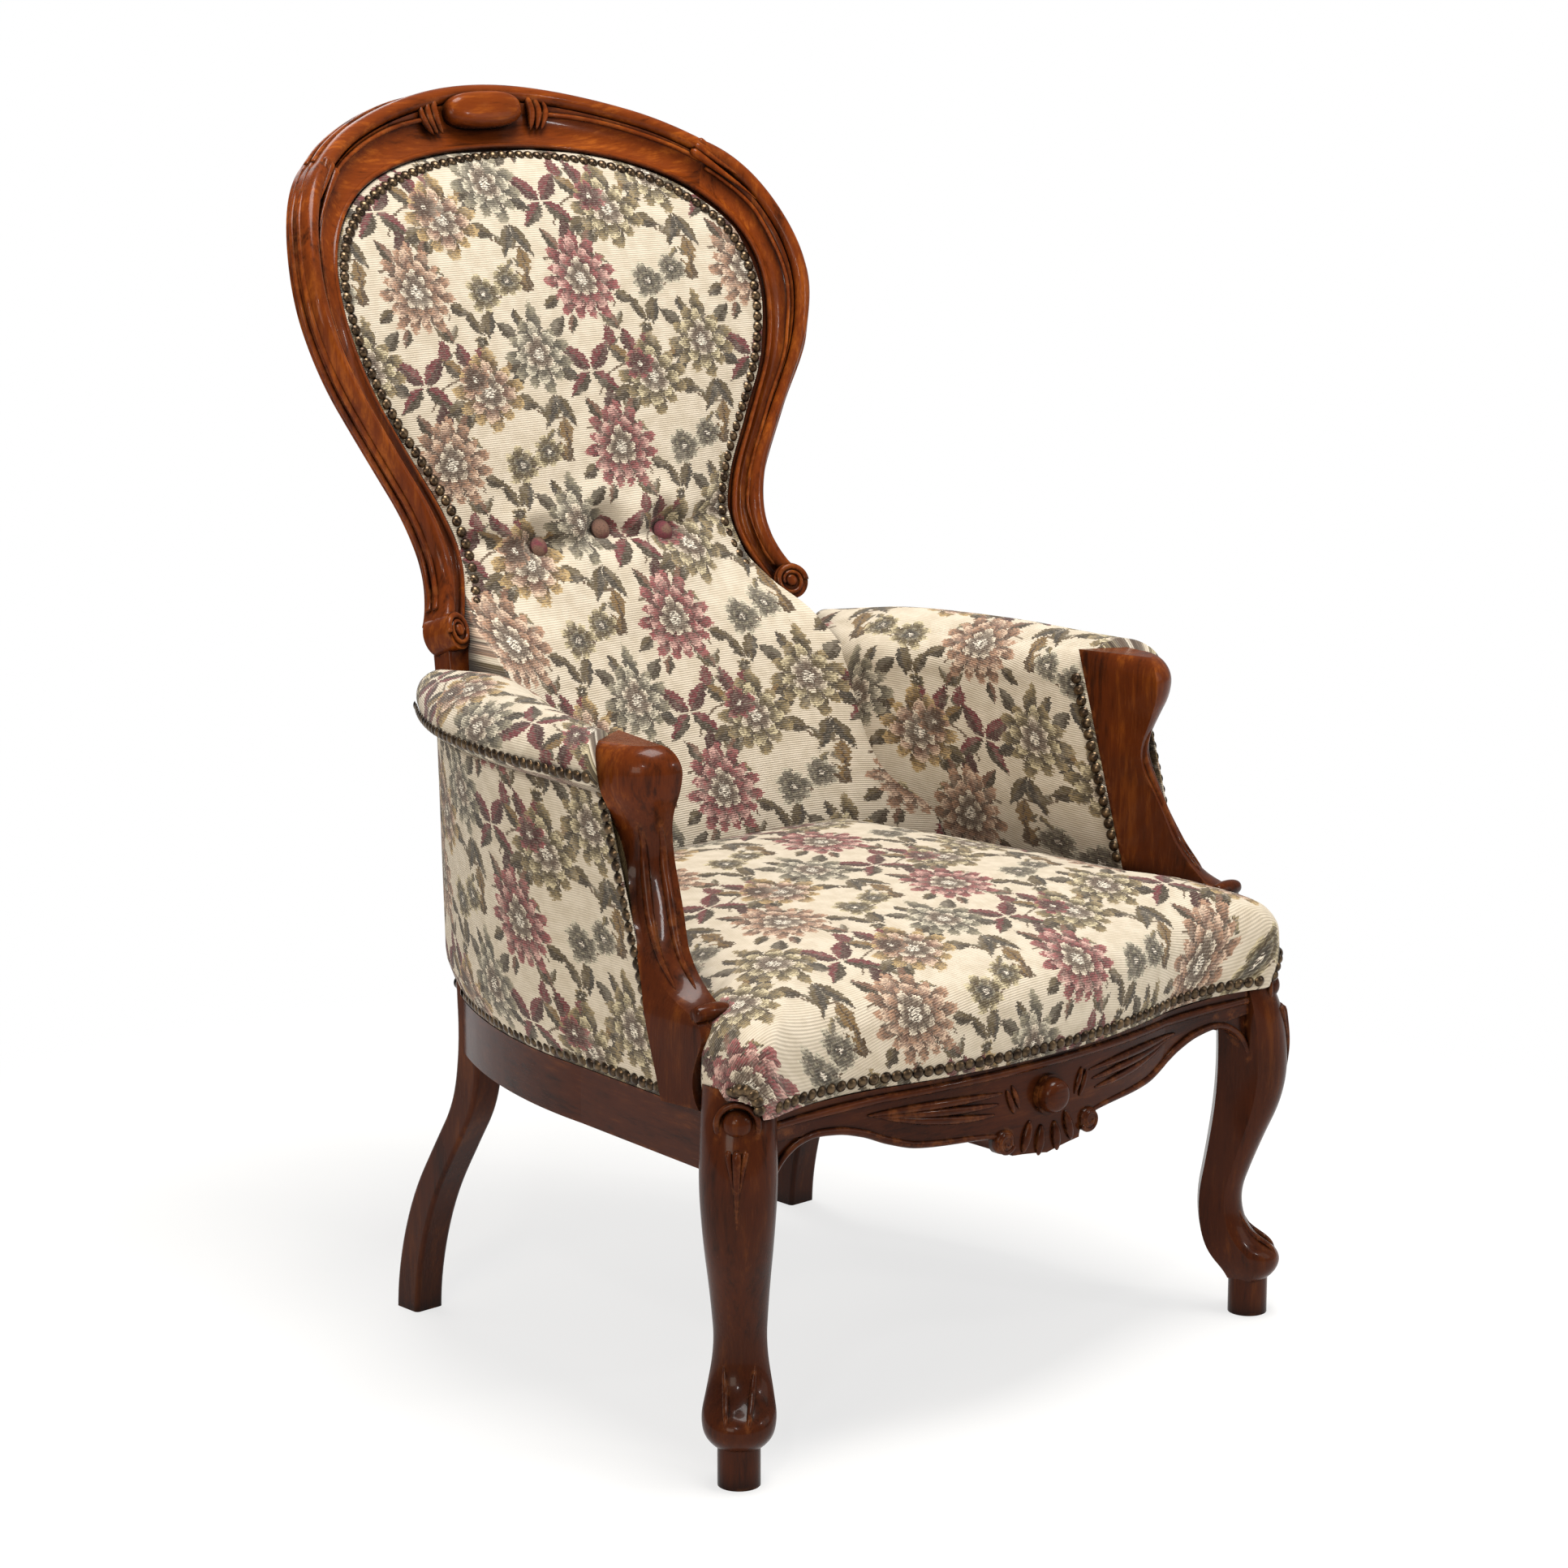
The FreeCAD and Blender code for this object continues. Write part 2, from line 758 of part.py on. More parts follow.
def dome(radius, skirt, rise):
    """Spherical cap on a short round skirt, standing on its flat seat."""
    ball = (radius**2 + rise**2) / (2 * rise)
    middle = radius * 0.6
    middle_z = skirt + rise - ball + math.sqrt(ball**2 - middle**2)
    profile = closed(
        vec(0, 0, 0),
        vec(radius, 0, 0),
        vec(radius, 0, skirt),
        (vec(middle, 0, middle_z), vec(0, 0, skirt + rise)),
    )
    return Part.Face(profile).revolve(vec(0, 0), vec(0, 0, 1), 360)


def back_button(point, normal):
    """Covered button seated on the rim of its dimple."""
    depth = DIMPLE_DEPTH - (DIMPLE_RADIUS - math.sqrt(DIMPLE_RADIUS**2 - BUTTON_RADIUS**2))
    seat = point - normal * (depth - CLEARANCE)
    return placed(dome(BUTTON_RADIUS, BUTTON_SKIRT, BUTTON_RISE), seat, normal)


def placed(shape, point, normal):
    copy = shape.copy()
    copy.Placement = FreeCAD.Placement(point, FreeCAD.Rotation(vec(0, 0, 1), normal))
    return copy


# Drop from the crest and half-width of the cloth behind the frame.
OUTSIDE_BACK_LEVELS = [
    (34, 92),
    (58, 176),
    (112, 240),
    (182, 262),
    (240, 250),
    (305, 214),
    (368, 188),
    (430, 190),
]


def outside_back_panel():
    """Thin cloth across the back of the frame, down to the back rail."""
    depth = FRAME_THICKNESS + 3 * CLEARANCE
    gap = depth / abs(back_normal(0).y)
    sections = []
    for drop, half in OUTSIDE_BACK_LEVELS:
        z = BACK_TOP - drop
        edge_gap = depth / abs(back_normal(half).y)
        sections.append(panel_section(half, back_y(half, z) + edge_gap, back_y(0, z) + gap, z))
    last_drop, last_half = OUTSIDE_BACK_LEVELS[-1]
    top_z = BACK_TOP - last_drop
    top_y = back_y(0, top_z) + gap
    low_y = REAR_LEG_Y + 26 + BACK_RAIL_BOW - TACK_REBATE
    low_half = REAR_LEG_X + REAR_LEG_SIZE / 2 - 3
    for share in (0.15, 0.35, 0.7, 1.0):
        z = top_z + (RAIL_TOP + CLEARANCE - top_z) * share
        middle = top_y + (low_y - top_y) * share
        half = last_half + (low_half - last_half) * share
        edge = middle - BACK_RAIL_BOW + 14 * (1 - share)
        sections.append(panel_section(half, edge + CLEARANCE, middle + CLEARANCE, z))
    return loft(sections)


def panel_section(half, edge_y, middle_y, z):
    return closed(
        vec(-half, edge_y, z),
        (vec(0, middle_y, z), vec(half, edge_y, z)),
        vec(half, edge_y + FABRIC, z),
        (vec(0, middle_y + FABRIC, z), vec(-half, edge_y + FABRIC, z)),
    )


# Arm upholstery


def arm_stations():
    """Outer and inner plan point of each cross-section of the arm, from the post to the back."""
    a = ARM.points(0, 0)
    rear_inner = vec(LOWER_BACK_HALF + 14, a[3].y - 8)
    front_inner = vec(ARM_FRONT_X - POST_THICKNESS, a[0].y + POST_SKEW * POST_THICKNESS)
    seat_rear = vec(LOWER_BACK_HALF + 12, REAR_LEG_Y - 40)
    return [
        (a[0], front_inner),
        (a[1], front_inner + (seat_rear - front_inner) * 0.36 + vec(3, 0)),
        (ARM.on_bow(0.40), front_inner + (seat_rear - front_inner) * 0.68 + vec(3, 0)),
        (ARM.on_bow(0.74), seat_rear),
        (a[3], rear_inner),
    ]


def arm_contour(width, d):
    """Outside of the arm from the nail line over the roll and down the inner face, inset by d."""
    line = ARM_LINE
    crown = ARM_TOP - 14 + 0.22 * width
    return [
        (d, line),
        (d - 5, line + 14, 2 + 0.7 * d, line + 30 - 0.7 * d),
        (width * 0.42, crown - d, width - 20 - 0.6 * d, ARM_TOP - 7 - 0.8 * d),
        (width - 5 - 0.8 * d, line + 20 - 0.6 * d, width - d, line - 1),
        (width + 3 - d, line - 73, width - d, RAIL_TOP + 94),
        (width - 2 - d, RAIL_TOP + 16),
    ]


def arm_loft(profile):
    """Loft of a profile that gives, for an arm width, a list of points and arcs in section."""
    wires = []
    leans = [POST_LEAN, 0.0, 0.0, 0.0, ARM_REAR_LEAN]
    for index, (outer, inner) in enumerate(arm_stations()):
        across = inner - outer
        width = across.Length
        across.normalize()
        lean = leans[index]

        def at(q, z, outer=outer, across=across, lean=lean):
            flat = outer + across * q
            return vec(flat.x, flat.y - lean * (ARM_LINE - z) + CLEARANCE, z)

        steps = []
        for step in profile(width):
            if len(step) == 2:
                steps.append(at(*step))
            else:
                steps.append((at(step[0], step[1]), at(step[2], step[3])))
        wires.append(closed(steps[0], *steps[1:]))
    return loft(wires)


def reversed_contour(contour):
    ends = [step[-2:] for step in contour]
    back = [ends[-1]]
    for index in range(len(contour) - 1, 0, -1):
        step = contour[index]
        if len(step) == 2:
            back.append(ends[index - 1])
        else:
            back.append((step[0], step[1], *ends[index - 1]))
    return back


def arm_cover_profile(width):
    return arm_contour(width, 0) + reversed_contour(arm_contour(width, FABRIC))


def arm_end_cap():
    """Cloth over the rear end of the arm roll."""
    outer, inner = arm_stations()[-1]
    across = inner - outer
    width = across.Length
    across.normalize()

    def at(q, z):
        flat = outer + across * q
        return vec(flat.x, flat.y - ARM_REAR_LEAN * (ARM_LINE - z) + CLEARANCE, z)

    steps = []
    for step in arm_contour(width, 0)[:4]:
        if len(step) == 2:
            steps.append(at(*step))
        else:
            steps.append((at(step[0], step[1]), at(step[2], step[3])))
    square = vec(across.y, -across.x)
    return Part.Face(closed(*steps)).extrude(square * FABRIC)


def arm_pad_profile(width):
    skin = FABRIC + CLEARANCE
    slab = width - ARM_STUFFING
    return arm_contour(width, skin) + [
        (slab, RAIL_TOP + 16),
        (slab, ARM_LINE - 10 + CLEARANCE),
        (ROLL_OVERHANG + FABRIC + 10, ARM_LINE - 10 + CLEARANCE),
        (ROLL_OVERHANG + FABRIC + 10, ARM_LINE),
    ]


def arm_mass_profile(width):
    """Whole room that the arm takes, with a clearance, for fitting the seat between the arms."""
    return arm_contour(width, -5 * CLEARANCE) + [(10, RAIL_TOP + 16)]


def arm_hessian_profile(width):
    slab = width - ARM_STUFFING - CLEARANCE
    return [
        (slab, RAIL_TOP + 18),
        (slab, ARM_LINE - 11),
        (slab - HESSIAN, ARM_LINE - 11),
        (slab - HESSIAN, RAIL_TOP + 18),
    ]


def outside_arm_panel():
    """Outer cloth from the rail's tack strip up to the underside of the arm roll."""
    wires = []
    for share in (0.0, 0.33, 0.66, 1.0):
        z = RAIL_TOP + CLEARANCE + (ARM_LINE - 3 - RAIL_TOP - CLEARANCE) * share
        low_out = SIDE.points(TACK_REBATE - FABRIC - CLEARANCE, z)
        low_in = SIDE.points(TACK_REBATE - CLEARANCE, z)
        top_out = ARM.points(ROLL_OVERHANG, z)
        top_in = ARM.points(ROLL_OVERHANG + FABRIC, z)
        out = [a + (b - a) * share for a, b in zip(low_out, top_out)]
        inn = [a + (b - a) * share for a, b in zip(low_in, top_in)]
        for row in (out, inn):
            before, after = (p.y - post_rear_y(p.x, z) - 2 * CLEARANCE for p in row[:2])
            row[0] = row[0] + (row[1] - row[0]) * (before / (before - after))
        wires.append(closed(out[0], out[1], (out[2], out[3]), inn[3], (inn[2], inn[1]), inn[0]))
    return loft(wires)


# Seat upholstery

# Scale of the outline, and height above the rail at the front and at the back.
SEAT_LEVELS = [
    (0.985, 1, 1),
    (1.003, 26, 26),
    (1.000, 50, 54),
    (0.970, 68, 86),
    (0.890, 80, 105),
    (0.760, 90, 118),
    (0.560, 99, 127),
    (0.250, 104, 131),
]
SEAT_FRONT_Y = FRONT_FACE_Y - FRONT_RAIL_BOW - 6.0
SEAT_BACK_Y = REAR_LEG_Y - 10.0
SEAT_MIDDLE_Y = (SEAT_FRONT_Y + SEAT_BACK_Y) / 2


def seat_outline(scale, front_z, back_z):
    """Serpentine front, rounded corners beside the posts, and room to be trimmed by arms and back."""
    slope = (back_z - front_z) / (SEAT_BACK_Y - SEAT_FRONT_Y)

    def at(x, forward):
        y = SEAT_MIDDLE_Y + (SEAT_FRONT_Y + forward - SEAT_MIDDLE_Y) * scale
        return vec(x * scale, y, front_z + slope * (y - SEAT_FRONT_Y))

    def pair(x, forward):
        return at(x, forward), at(-x, forward)

    wave, wave_l = pair(FRONT_WAVE_X, 25)
    hollow, hollow_l = pair(FRONT_LEG_X - 66, 31)
    turn, turn_l = pair(FRONT_LEG_X - 14, 21)
    corner, corner_l = pair(FRONT_LEG_X + 7, 28)
    side, side_l = pair(FRONT_LEG_X + 13, 48)
    toe, toe_l = pair(FRONT_LEG_X + 12, 77)
    hip, hip_l = pair(FRONT_LEG_X - 6, 100)
    waist, waist_l = pair(KNOB_X - 14, 165)
    inner, inner_l = pair(KNOB_X - 58, 320)
    rear, rear_l = pair(LOWER_BACK_HALF + 12, SEAT_BACK_Y - SEAT_FRONT_Y)
    middle = at(0, SEAT_BACK_Y + 10 - SEAT_FRONT_Y)
    return closed(
        wave_l,
        (at(0, 0), wave),
        (hollow, turn),
        (corner, side),
        toe,
        hip,
        waist,
        (inner, rear),
        (middle, rear_l),
        (inner_l, waist_l),
        hip_l,
        toe_l,
        side_l,
        (corner_l, turn_l),
        (hollow_l, wave_l),
    )


def seat_scale(inset):
    """Scale that draws the outline's front in by an inset."""
    return 1 - inset / (SEAT_MIDDLE_Y - SEAT_FRONT_Y)


def seat_mass(skin, below):
    sections = []
    for index, (scale, front, back) in enumerate(SEAT_LEVELS):
        down = below if index == 0 else skin * (index > 2)
        sections.append(
            seat_outline(
                scale * seat_scale(skin), RAIL_TOP + front - down, RAIL_TOP + back - down
            )
        )
    return loft(sections)


def spring_space():
    """Room for the springs inside the stuffing, up to the hessian."""
    z = RAIL_TOP - 20
    outline = seat_outline(seat_scale(SEAT_EDGE_ROLL), z, z)
    return prism(outline, HESSIAN_BOTTOM + HESSIAN + CLEARANCE - z)


def seat_hessian():
    z = HESSIAN_BOTTOM
    return prism(seat_outline(seat_scale(SEAT_EDGE_ROLL + CLEARANCE), z, z), HESSIAN)


def spring():
    """Waisted coil: quarter-turn arcs through points on the helix."""
    quarters = SPRING_TURNS * 4

    def at(step):
        share = step / quarters
        height = SPRING_WIRE / 2 + share * (SPRING_HEIGHT - SPRING_WIRE)
        radius = SPRING_WAIST + (SPRING_RADIUS - SPRING_WAIST) * (2 * share - 1) ** 2
        angle = step * math.pi / 2
        return vec(radius * math.cos(angle), radius * math.sin(angle), height)

    edges = [
        Part.Arc(at(i), at(i + 0.5), at(i + 1)).toShape() for i in range(quarters)
    ]
    path = Part.Wire(edges)
    start = at(0)
    ring = Part.Circle(start, path.Edges[0].tangentAt(path.Edges[0].FirstParameter), SPRING_WIRE / 2)
    gap = (SPRING_HEIGHT - SPRING_WIRE) / SPRING_TURNS - SPRING_WIRE
    print("least gap between spring turns", round(gap, 2))
    return path.makePipeShell([Part.Wire([ring.toShape()])], True, False)


SPRING_ROWS = [-1, 0, 1]
SPRING_MIDDLE_Y = FRONT_LEG_Y + 190.0


def spring_places():
    return [
        (column * SPRING_PITCH_X * (1 - 0.1 * row), SPRING_MIDDLE_Y + row * SPRING_PITCH_Y)
        for row in SPRING_ROWS
        for column in SPRING_ROWS
    ]


def seat_springs():
    one = spring()
    springs = []
    for x, y in spring_places():
        copy = one.copy()
        copy.translate(vec(x, y, WEBBING_TOP + CLEARANCE))
        springs.append(copy)
    return Part.makeCompound(springs)


def ledge_outline(overlap, z):
    """Outline inside the rails, reaching over the ledges by an overlap."""
    depth = RAIL_THICKNESS + LEDGE_WIDTH - overlap
    a = SIDE.points(depth, z)
    front_y = FRONT_INNER_Y + LEDGE_WIDTH - overlap
    start = a[0] + (a[1] - a[0]) * ((front_y - a[0].y) / (a[1].y - a[0].y))
    rear_y = REAR_LEG_Y + 26 - depth
    share = 0.9
    rear = vec(a[3].x * share, rear_y, z)
    return closed(
        start,
        a[1],
        (a[2], a[3]),
        rear,
        (vec(0, rear_y + BACK_RAIL_BOW, z), vec(-rear.x, rear_y, z)),
        vec(-a[3].x, a[3].y, z),
        (vec(-a[2].x, a[2].y, z), vec(-a[1].x, a[1].y, z)),
        vec(-start.x, start.y, z),
    )


def seat_webbing():
    """Lengthwise bands tacked on the ledges, with cross bands laid over them."""
    low = LEDGE_TOP + CLEARANCE
    high = low + WEBBING_THICKNESS + CLEARANCE
    room = LEDGE_WIDTH - CLEARANCE
    length_sheet = prism(ledge_outline(room, low), WEBBING_THICKNESS)
    cross_sheet = prism(ledge_outline(room, high), WEBBING_THICKNESS)
    bands = []
    for column in (-1.5, -0.5, 0.5, 1.5):
        x = column * SPRING_PITCH_X * 0.75 - WEBBING_WIDTH / 2
        cutter = Part.makeBox(WEBBING_WIDTH, 1200, 400, vec(x, -600, 100))
        bands.append(length_sheet.common(cutter))
    for row in (-1.5, -0.5, 0.5, 1.5):
        y = SPRING_MIDDLE_Y + row * SPRING_PITCH_Y * 0.8 - WEBBING_WIDTH / 2
        cutter = Part.makeBox(1200, WEBBING_WIDTH, 400, vec(-600, y, 100))
        bands.append(cross_sheet.common(cutter))
    return Part.makeCompound([solid for band in bands for solid in band.Solids])


def dust_cover():
    z = LEDGE_TOP - LEDGE_HEIGHT - CLEARANCE - HESSIAN
    return prism(ledge_outline(LEDGE_WIDTH - 5, z), HESSIAN)


def back_webbing():
    """Upright and cross bands behind the back stuffing."""
    gap = STUFFING_DEPTH + CLEARANCE
    sheet = back_slab_sheet(gap)
    bands = []
    for column in (-1, 0, 1):
        x = column * 1.6 * WEBBING_WIDTH - WEBBING_WIDTH / 2
        cutter = Part.makeBox(WEBBING_WIDTH, 900, 1300, vec(x, -300, 0))
        bands.append(sheet.common(cutter))
    return Part.makeCompound([solid for band in bands for solid in band.Solids])


def back_slab_sheet(depth):
    sections = []
    for level_z, level_half, _, _ in back_levels():
        z, half = drawn_in(level_z, level_half, REBATE_WIDTH + 4 * CLEARANCE)
        sections.append(
            panel_section(half, back_y(half, z) + depth, back_y(0, z) + depth, z)
        )
    return loft(sections)


# Nails


def along(wire):
    """Points evenly spaced along a wire, a nail's spacing apart."""
    return wire.discretize(Number=int(round(wire.Length / NAIL_SPACING)) + 1)


def seated(points, shape, lift=0.15):
    """Nails seated on the nearest face of a shape, standing square to it."""
    head = dome(NAIL_RADIUS, NAIL_SKIRT, NAIL_HEIGHT - NAIL_SKIRT)
    nails = []
    for point in points:
        distance, pairs, info = shape.distToShape(Part.Vertex(point))
        foot = pairs[0][0]
        kind, index = info[0][0], info[0][1]
        if kind == "Face":
            u, v = info[0][2]
            normal = shape.Faces[index].normalAt(u, v)
        else:
            normal = (point - foot).normalize()
        if normal.dot(point - foot) < 0:
            normal = normal * -1
        nails.append(placed(head, foot + normal * lift, normal))
    return nails


def smooth(points):
    curve = Part.BSplineCurve()
    curve.interpolate(points)
    return Part.Wire([curve.toShape()])


def back_nail_line():
    """Row just inside the moulding, from the foot of one stile over the crest to the other."""
    right = []
    for (inner_x, inner_drop), (outer_x, outer_drop) in FRAME_STATIONS:
        inner = on_back(inner_x, BACK_TOP - inner_drop)
        outer = on_back(outer_x, BACK_TOP - outer_drop)
        across = (outer - inner).normalize()
        right.append(inner - across * (NAIL_RADIUS + 0.5) + back_normal(inner_x) * 10)
    left = [vec(-p.x, p.y, p.z) for p in right[:0:-1]]
    return smooth(left + right)


def arm_nail_line():
    b = ARM.points(-20, ARM_LINE + 3)
    start = vec(b[0].x, ARM_FRONT_Y + NAIL_RADIUS + 1, b[0].z)
    return Part.Wire(
        [
            Part.LineSegment(start, b[1]).toShape(),
            Part.Arc(b[1], b[2], b[3]).toShape(),
        ]
    )


def rail_nail_line():
    z = RAIL_TOP + NAIL_RADIUS + 1
    b = SIDE.points(-10, z)
    start_y = post_rear_y(b[0].x, z) + 2 * NAIL_RADIUS
    start = b[0] + (b[1] - b[0]) * ((start_y - b[0].y) / (b[1].y - b[0].y))
    return Part.Wire(
        [
            Part.LineSegment(start, b[1]).toShape(),
            Part.Arc(b[1], b[2], b[3]).toShape(),
        ]
    )


def post_outer_nail_line():
    low = RAIL_TOP + 3 * NAIL_RADIUS + 2
    high = ARM_LINE - 3 - NAIL_RADIUS
    x = FRONT_LEG_X + 11
    ends = [vec(x + 20, post_rear_y(x, z) + NAIL_RADIUS + 1, z) for z in (low, high)]
    return Part.Wire([Part.LineSegment(ends[0], ends[1]).toShape()])


def post_inner_nail_line():
    low = RAIL_TOP + 96
    high = ARM_LINE + 8
    x = ARM_FRONT_X - POST_THICKNESS
    ends = [vec(x - 20, post_rear_y(x, z) + NAIL_RADIUS - 4, z) for z in (low, high)]
    return Part.Wire([Part.LineSegment(ends[0], ends[1]).toShape()])


def seat_front_nail_line():
    z = RAIL_TOP + NAIL_RADIUS + 2
    y = SEAT_FRONT_Y - 10
    end_x = FRONT_LEG_X - 26
    mid_x = (FRONT_WAVE_X + end_x) / 2
    return Part.Wire(
        [
            Part.Arc(
                vec(-end_x, y + 20, z), vec(-mid_x, y + 30, z), vec(-FRONT_WAVE_X, y + 25, z)
            ).toShape(),
            Part.Arc(vec(-FRONT_WAVE_X, y + 25, z), vec(0, y, z), vec(FRONT_WAVE_X, y + 25, z)).toShape(),
            Part.Arc(
                vec(FRONT_WAVE_X, y + 25, z), vec(mid_x, y + 30, z), vec(end_x, y + 20, z)
            ).toShape(),
        ]
    )


def knee_nail_line():
    """Short arch of nails over the knee ball."""
    r = KNEE_BALL_RADIUS + 12
    z = RAIL_TOP - 3
    return Part.Wire(
        [
            Part.Arc(
                leg_point(40, -r, z + 6), leg_point(40, 0, z + r + 4), leg_point(40, r, z + 6)
            ).toShape()
        ]
    )


def back_rail_nail_line():
    z = RAIL_TOP + NAIL_RADIUS + 1
    wire = back_rail_band(-10, 0, z)
    return Part.Wire([wire.Edges[0]])


# Dowels in the joints of the seat frame and the back frame


def dowels():
    pins = []
    front = vec(FRONT_END_X - 34, FRONT_INNER_Y - 14, RAIL_TOP - 6)
    pins.append(Part.makeCylinder(DOWEL_RADIUS, DOWEL_LENGTH, front, vec(1, 0)))
    for drop in (14, 32):
        start = SIDE.points(RAIL_THICKNESS / 2, RAIL_TOP - drop)[0]
        pins.append(
            Part.makeCylinder(
                DOWEL_RADIUS, DOWEL_LENGTH, start + vec(0, DOWEL_LENGTH * 0.2), vec(0, 1)
            )
        )
    (inner, outer) = FRAME_STATIONS[CREST_STATION]
    for share in (0.3, 0.72):
        x = inner[0] + (outer[0] - inner[0]) * share
        drop = inner[1] + (outer[1] - inner[1]) * share
        centre = on_back(x, BACK_TOP - drop, -FRAME_THICKNESS * 0.55)
        across = on_back(outer[0], BACK_TOP - outer[1]) - on_back(inner[0], BACK_TOP - inner[1])
        direction = across.cross(back_normal(x)).normalize()
        pins.append(
            Part.makeCylinder(
                DOWEL_RADIUS * 0.8,
                DOWEL_LENGTH * 0.7,
                centre - direction * (DOWEL_LENGTH * 0.35),
                direction,
            )
        )
    return pins + [mirrored(pin) for pin in pins]


def post_room():
    """Upright room in the seat for the foot of the arm post."""
    z = RAIL_TOP - 30
    wire = closed(
        vec(KNOB_X - 18, KNOB_Y - 98, z),
        vec(KNOB_X + 60, KNOB_Y - 98, z),
        vec(KNOB_X + 60, KNOB_Y + 80, z),
        vec(ARM_FRONT_X - POST_THICKNESS - 2, KNOB_Y + 80, z),
        vec(ARM_FRONT_X - POST_THICKNESS - 2, KNOB_Y - 20, z),
    )
    return prism(wire, 200)


def leg_room():
    """Round room in the seat for the top of the front leg, and for its ball."""
    centre = leg_point(-13, 0, RAIL_TOP - 30)
    top = Part.makeCylinder(33, 30 + KNEE_BLOCK_RISE + CLEARANCE, centre)
    ball = Part.makeCylinder(
        KNEE_BALL_RADIUS + 5, 60, leg_point(-5, 0, RAIL_TOP - 3), vec(DIAGONAL, -DIAGONAL)
    )
    return [top, ball]


def both(shapes):
    return shapes + [mirrored(shape) for shape in shapes]


def main():
    os.makedirs(PARTS, exist_ok=True)
    pins = dowels()
    save("frame_dowels", Part.makeCompound(pins))

    right_leg = front_leg()
    right_stile = back_stile()
    raw_rear = rear_leg()
    right_rear = raw_rear.cut(right_stile)
    raw_post = arm_post()
    raw_side = side_rail()
    raw_back = back_rail()
    side = main_piece(raw_side.cut([right_leg, raw_rear, raw_post]))
    front = front_rail().cut(both([right_leg, raw_side]))
    save_pair("front_leg", right_leg.cut(pins))
    save_pair("rear_leg", right_rear)
    save_pair("arm_post", raw_post.cut(right_leg))
    save_pair("side_rail", side.cut(pins))
    save_pair("back_stile", right_stile.cut(pins))
    save("back_rail", raw_back.cut(both([raw_rear, raw_side])))
    save("front_rail", front.cut(pins))
    save("crest_rail", crest_rail().cut(pins))

    upright = upright_room()
    rail = arm_rail()
    save_pair("arm_rail", main_piece(rail.cut([raw_post, raw_rear])))
    cross = lower_back_rail()
    save("lower_back_rail", main_piece(cross.cut(both([raw_rear]))))

    cover, stuffing, axes = back_upholstery()
    save("back_cover", cover)
    save("back_stuffing", stuffing)
    save("back_buttons", Part.makeCompound([back_button(p, n) for p, n in axes]))
    save("back_webbing", back_webbing())
    panel = outside_back_panel()
    save("outside_back_panel", panel)

    scroll = volute(CLEARANCE)
    arm_cover = main_piece(union(arm_loft(arm_cover_profile), arm_end_cap()).cut([scroll, upright, cross]))
    save_pair("arm_cover", arm_cover)
    arm_pad = main_piece(arm_loft(arm_pad_profile).cut([scroll, upright, rail, cross]))
    save_pair("arm_pad", arm_pad)
    save_pair("arm_hessian", main_piece(arm_loft(arm_hessian_profile).cut([upright, rail, cross])))
    arm_panel = outside_arm_panel().cut(upright)
    save_pair("outside_arm_panel", arm_panel)

    back_room = back_slab(-CLEARANCE, 200, -CLEARANCE, -CLEARANCE)
    trims = both([arm_loft(arm_mass_profile), post_room(), *leg_room(), raw_side]) + [back_room]
    seat_cover = main_piece(seat_mass(0, 0).cut(seat_mass(FABRIC, 12)).cut(trims))
    save("seat_cover", seat_cover)
    save("seat_stuffing", seat_mass(FABRIC + CLEARANCE, -TACK_STRIP).cut(trims + [spring_space()]))
    save("seat_hessian", seat_hessian())
    save("seat_springs", seat_springs())
    save("seat_webbing", seat_webbing())
    save("dust_cover", dust_cover().cut(both([right_leg, raw_rear])))

    rear_post = Part.makeBox(
        REAR_LEG_SIZE + 2 * CLEARANCE,
        REAR_LEG_SIZE + 2 * CLEARANCE,
        RAIL_DEPTH,
        vec(
            REAR_LEG_X - REAR_LEG_SIZE / 2 - CLEARANCE,
            REAR_LEG_Y - REAR_LEG_SIZE / 2 - CLEARANCE,
            RAIL_BOTTOM,
        ),
    )
    front_corner = vec(FRONT_LEG_X - 17, FRONT_LEG_Y + 14)
    rear_corner = vec(REAR_LEG_X - 16, REAR_LEG_Y - 8)
    blocks = []
    screws = []
    for corner, along_y, legs in (
        (front_corner, 1, [right_leg]),
        (rear_corner, -1, [rear_post, raw_back]),
    ):
        screw = corner_block_screw(corner, -1, along_y)
        block = corner_block(corner, -1, along_y).cut([raw_side, screw, *legs])
        blocks.append(main_piece(block))
        screws.append(screw)
    save("corner_blocks", Part.makeCompound(both(blocks)))
    save("corner_block_screws", Part.makeCompound(both(screws)))

    save("back_nails", Part.makeCompound(seated(along(back_nail_line()), cover)))
    save_pair("arm_nails", Part.makeCompound(seated(along(arm_nail_line()), arm_cover)))
    post_row = seated(along(post_outer_nail_line()), arm_panel)
    post_row += seated(along(post_inner_nail_line()), arm_cover)
    save_pair("post_nails", Part.makeCompound(post_row))
    save_pair("rail_nails", Part.makeCompound(seated(along(rail_nail_line()), arm_panel)))
    save("back_rail_nails", Part.makeCompound(seated(along(back_rail_nail_line()), panel)))
    front_row = seated(along(seat_front_nail_line()), seat_cover)
    arch = seated(along(knee_nail_line()), seat_cover)
    save("seat_front_nails", Part.makeCompound(front_row + both(arch)))


main()
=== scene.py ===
import math

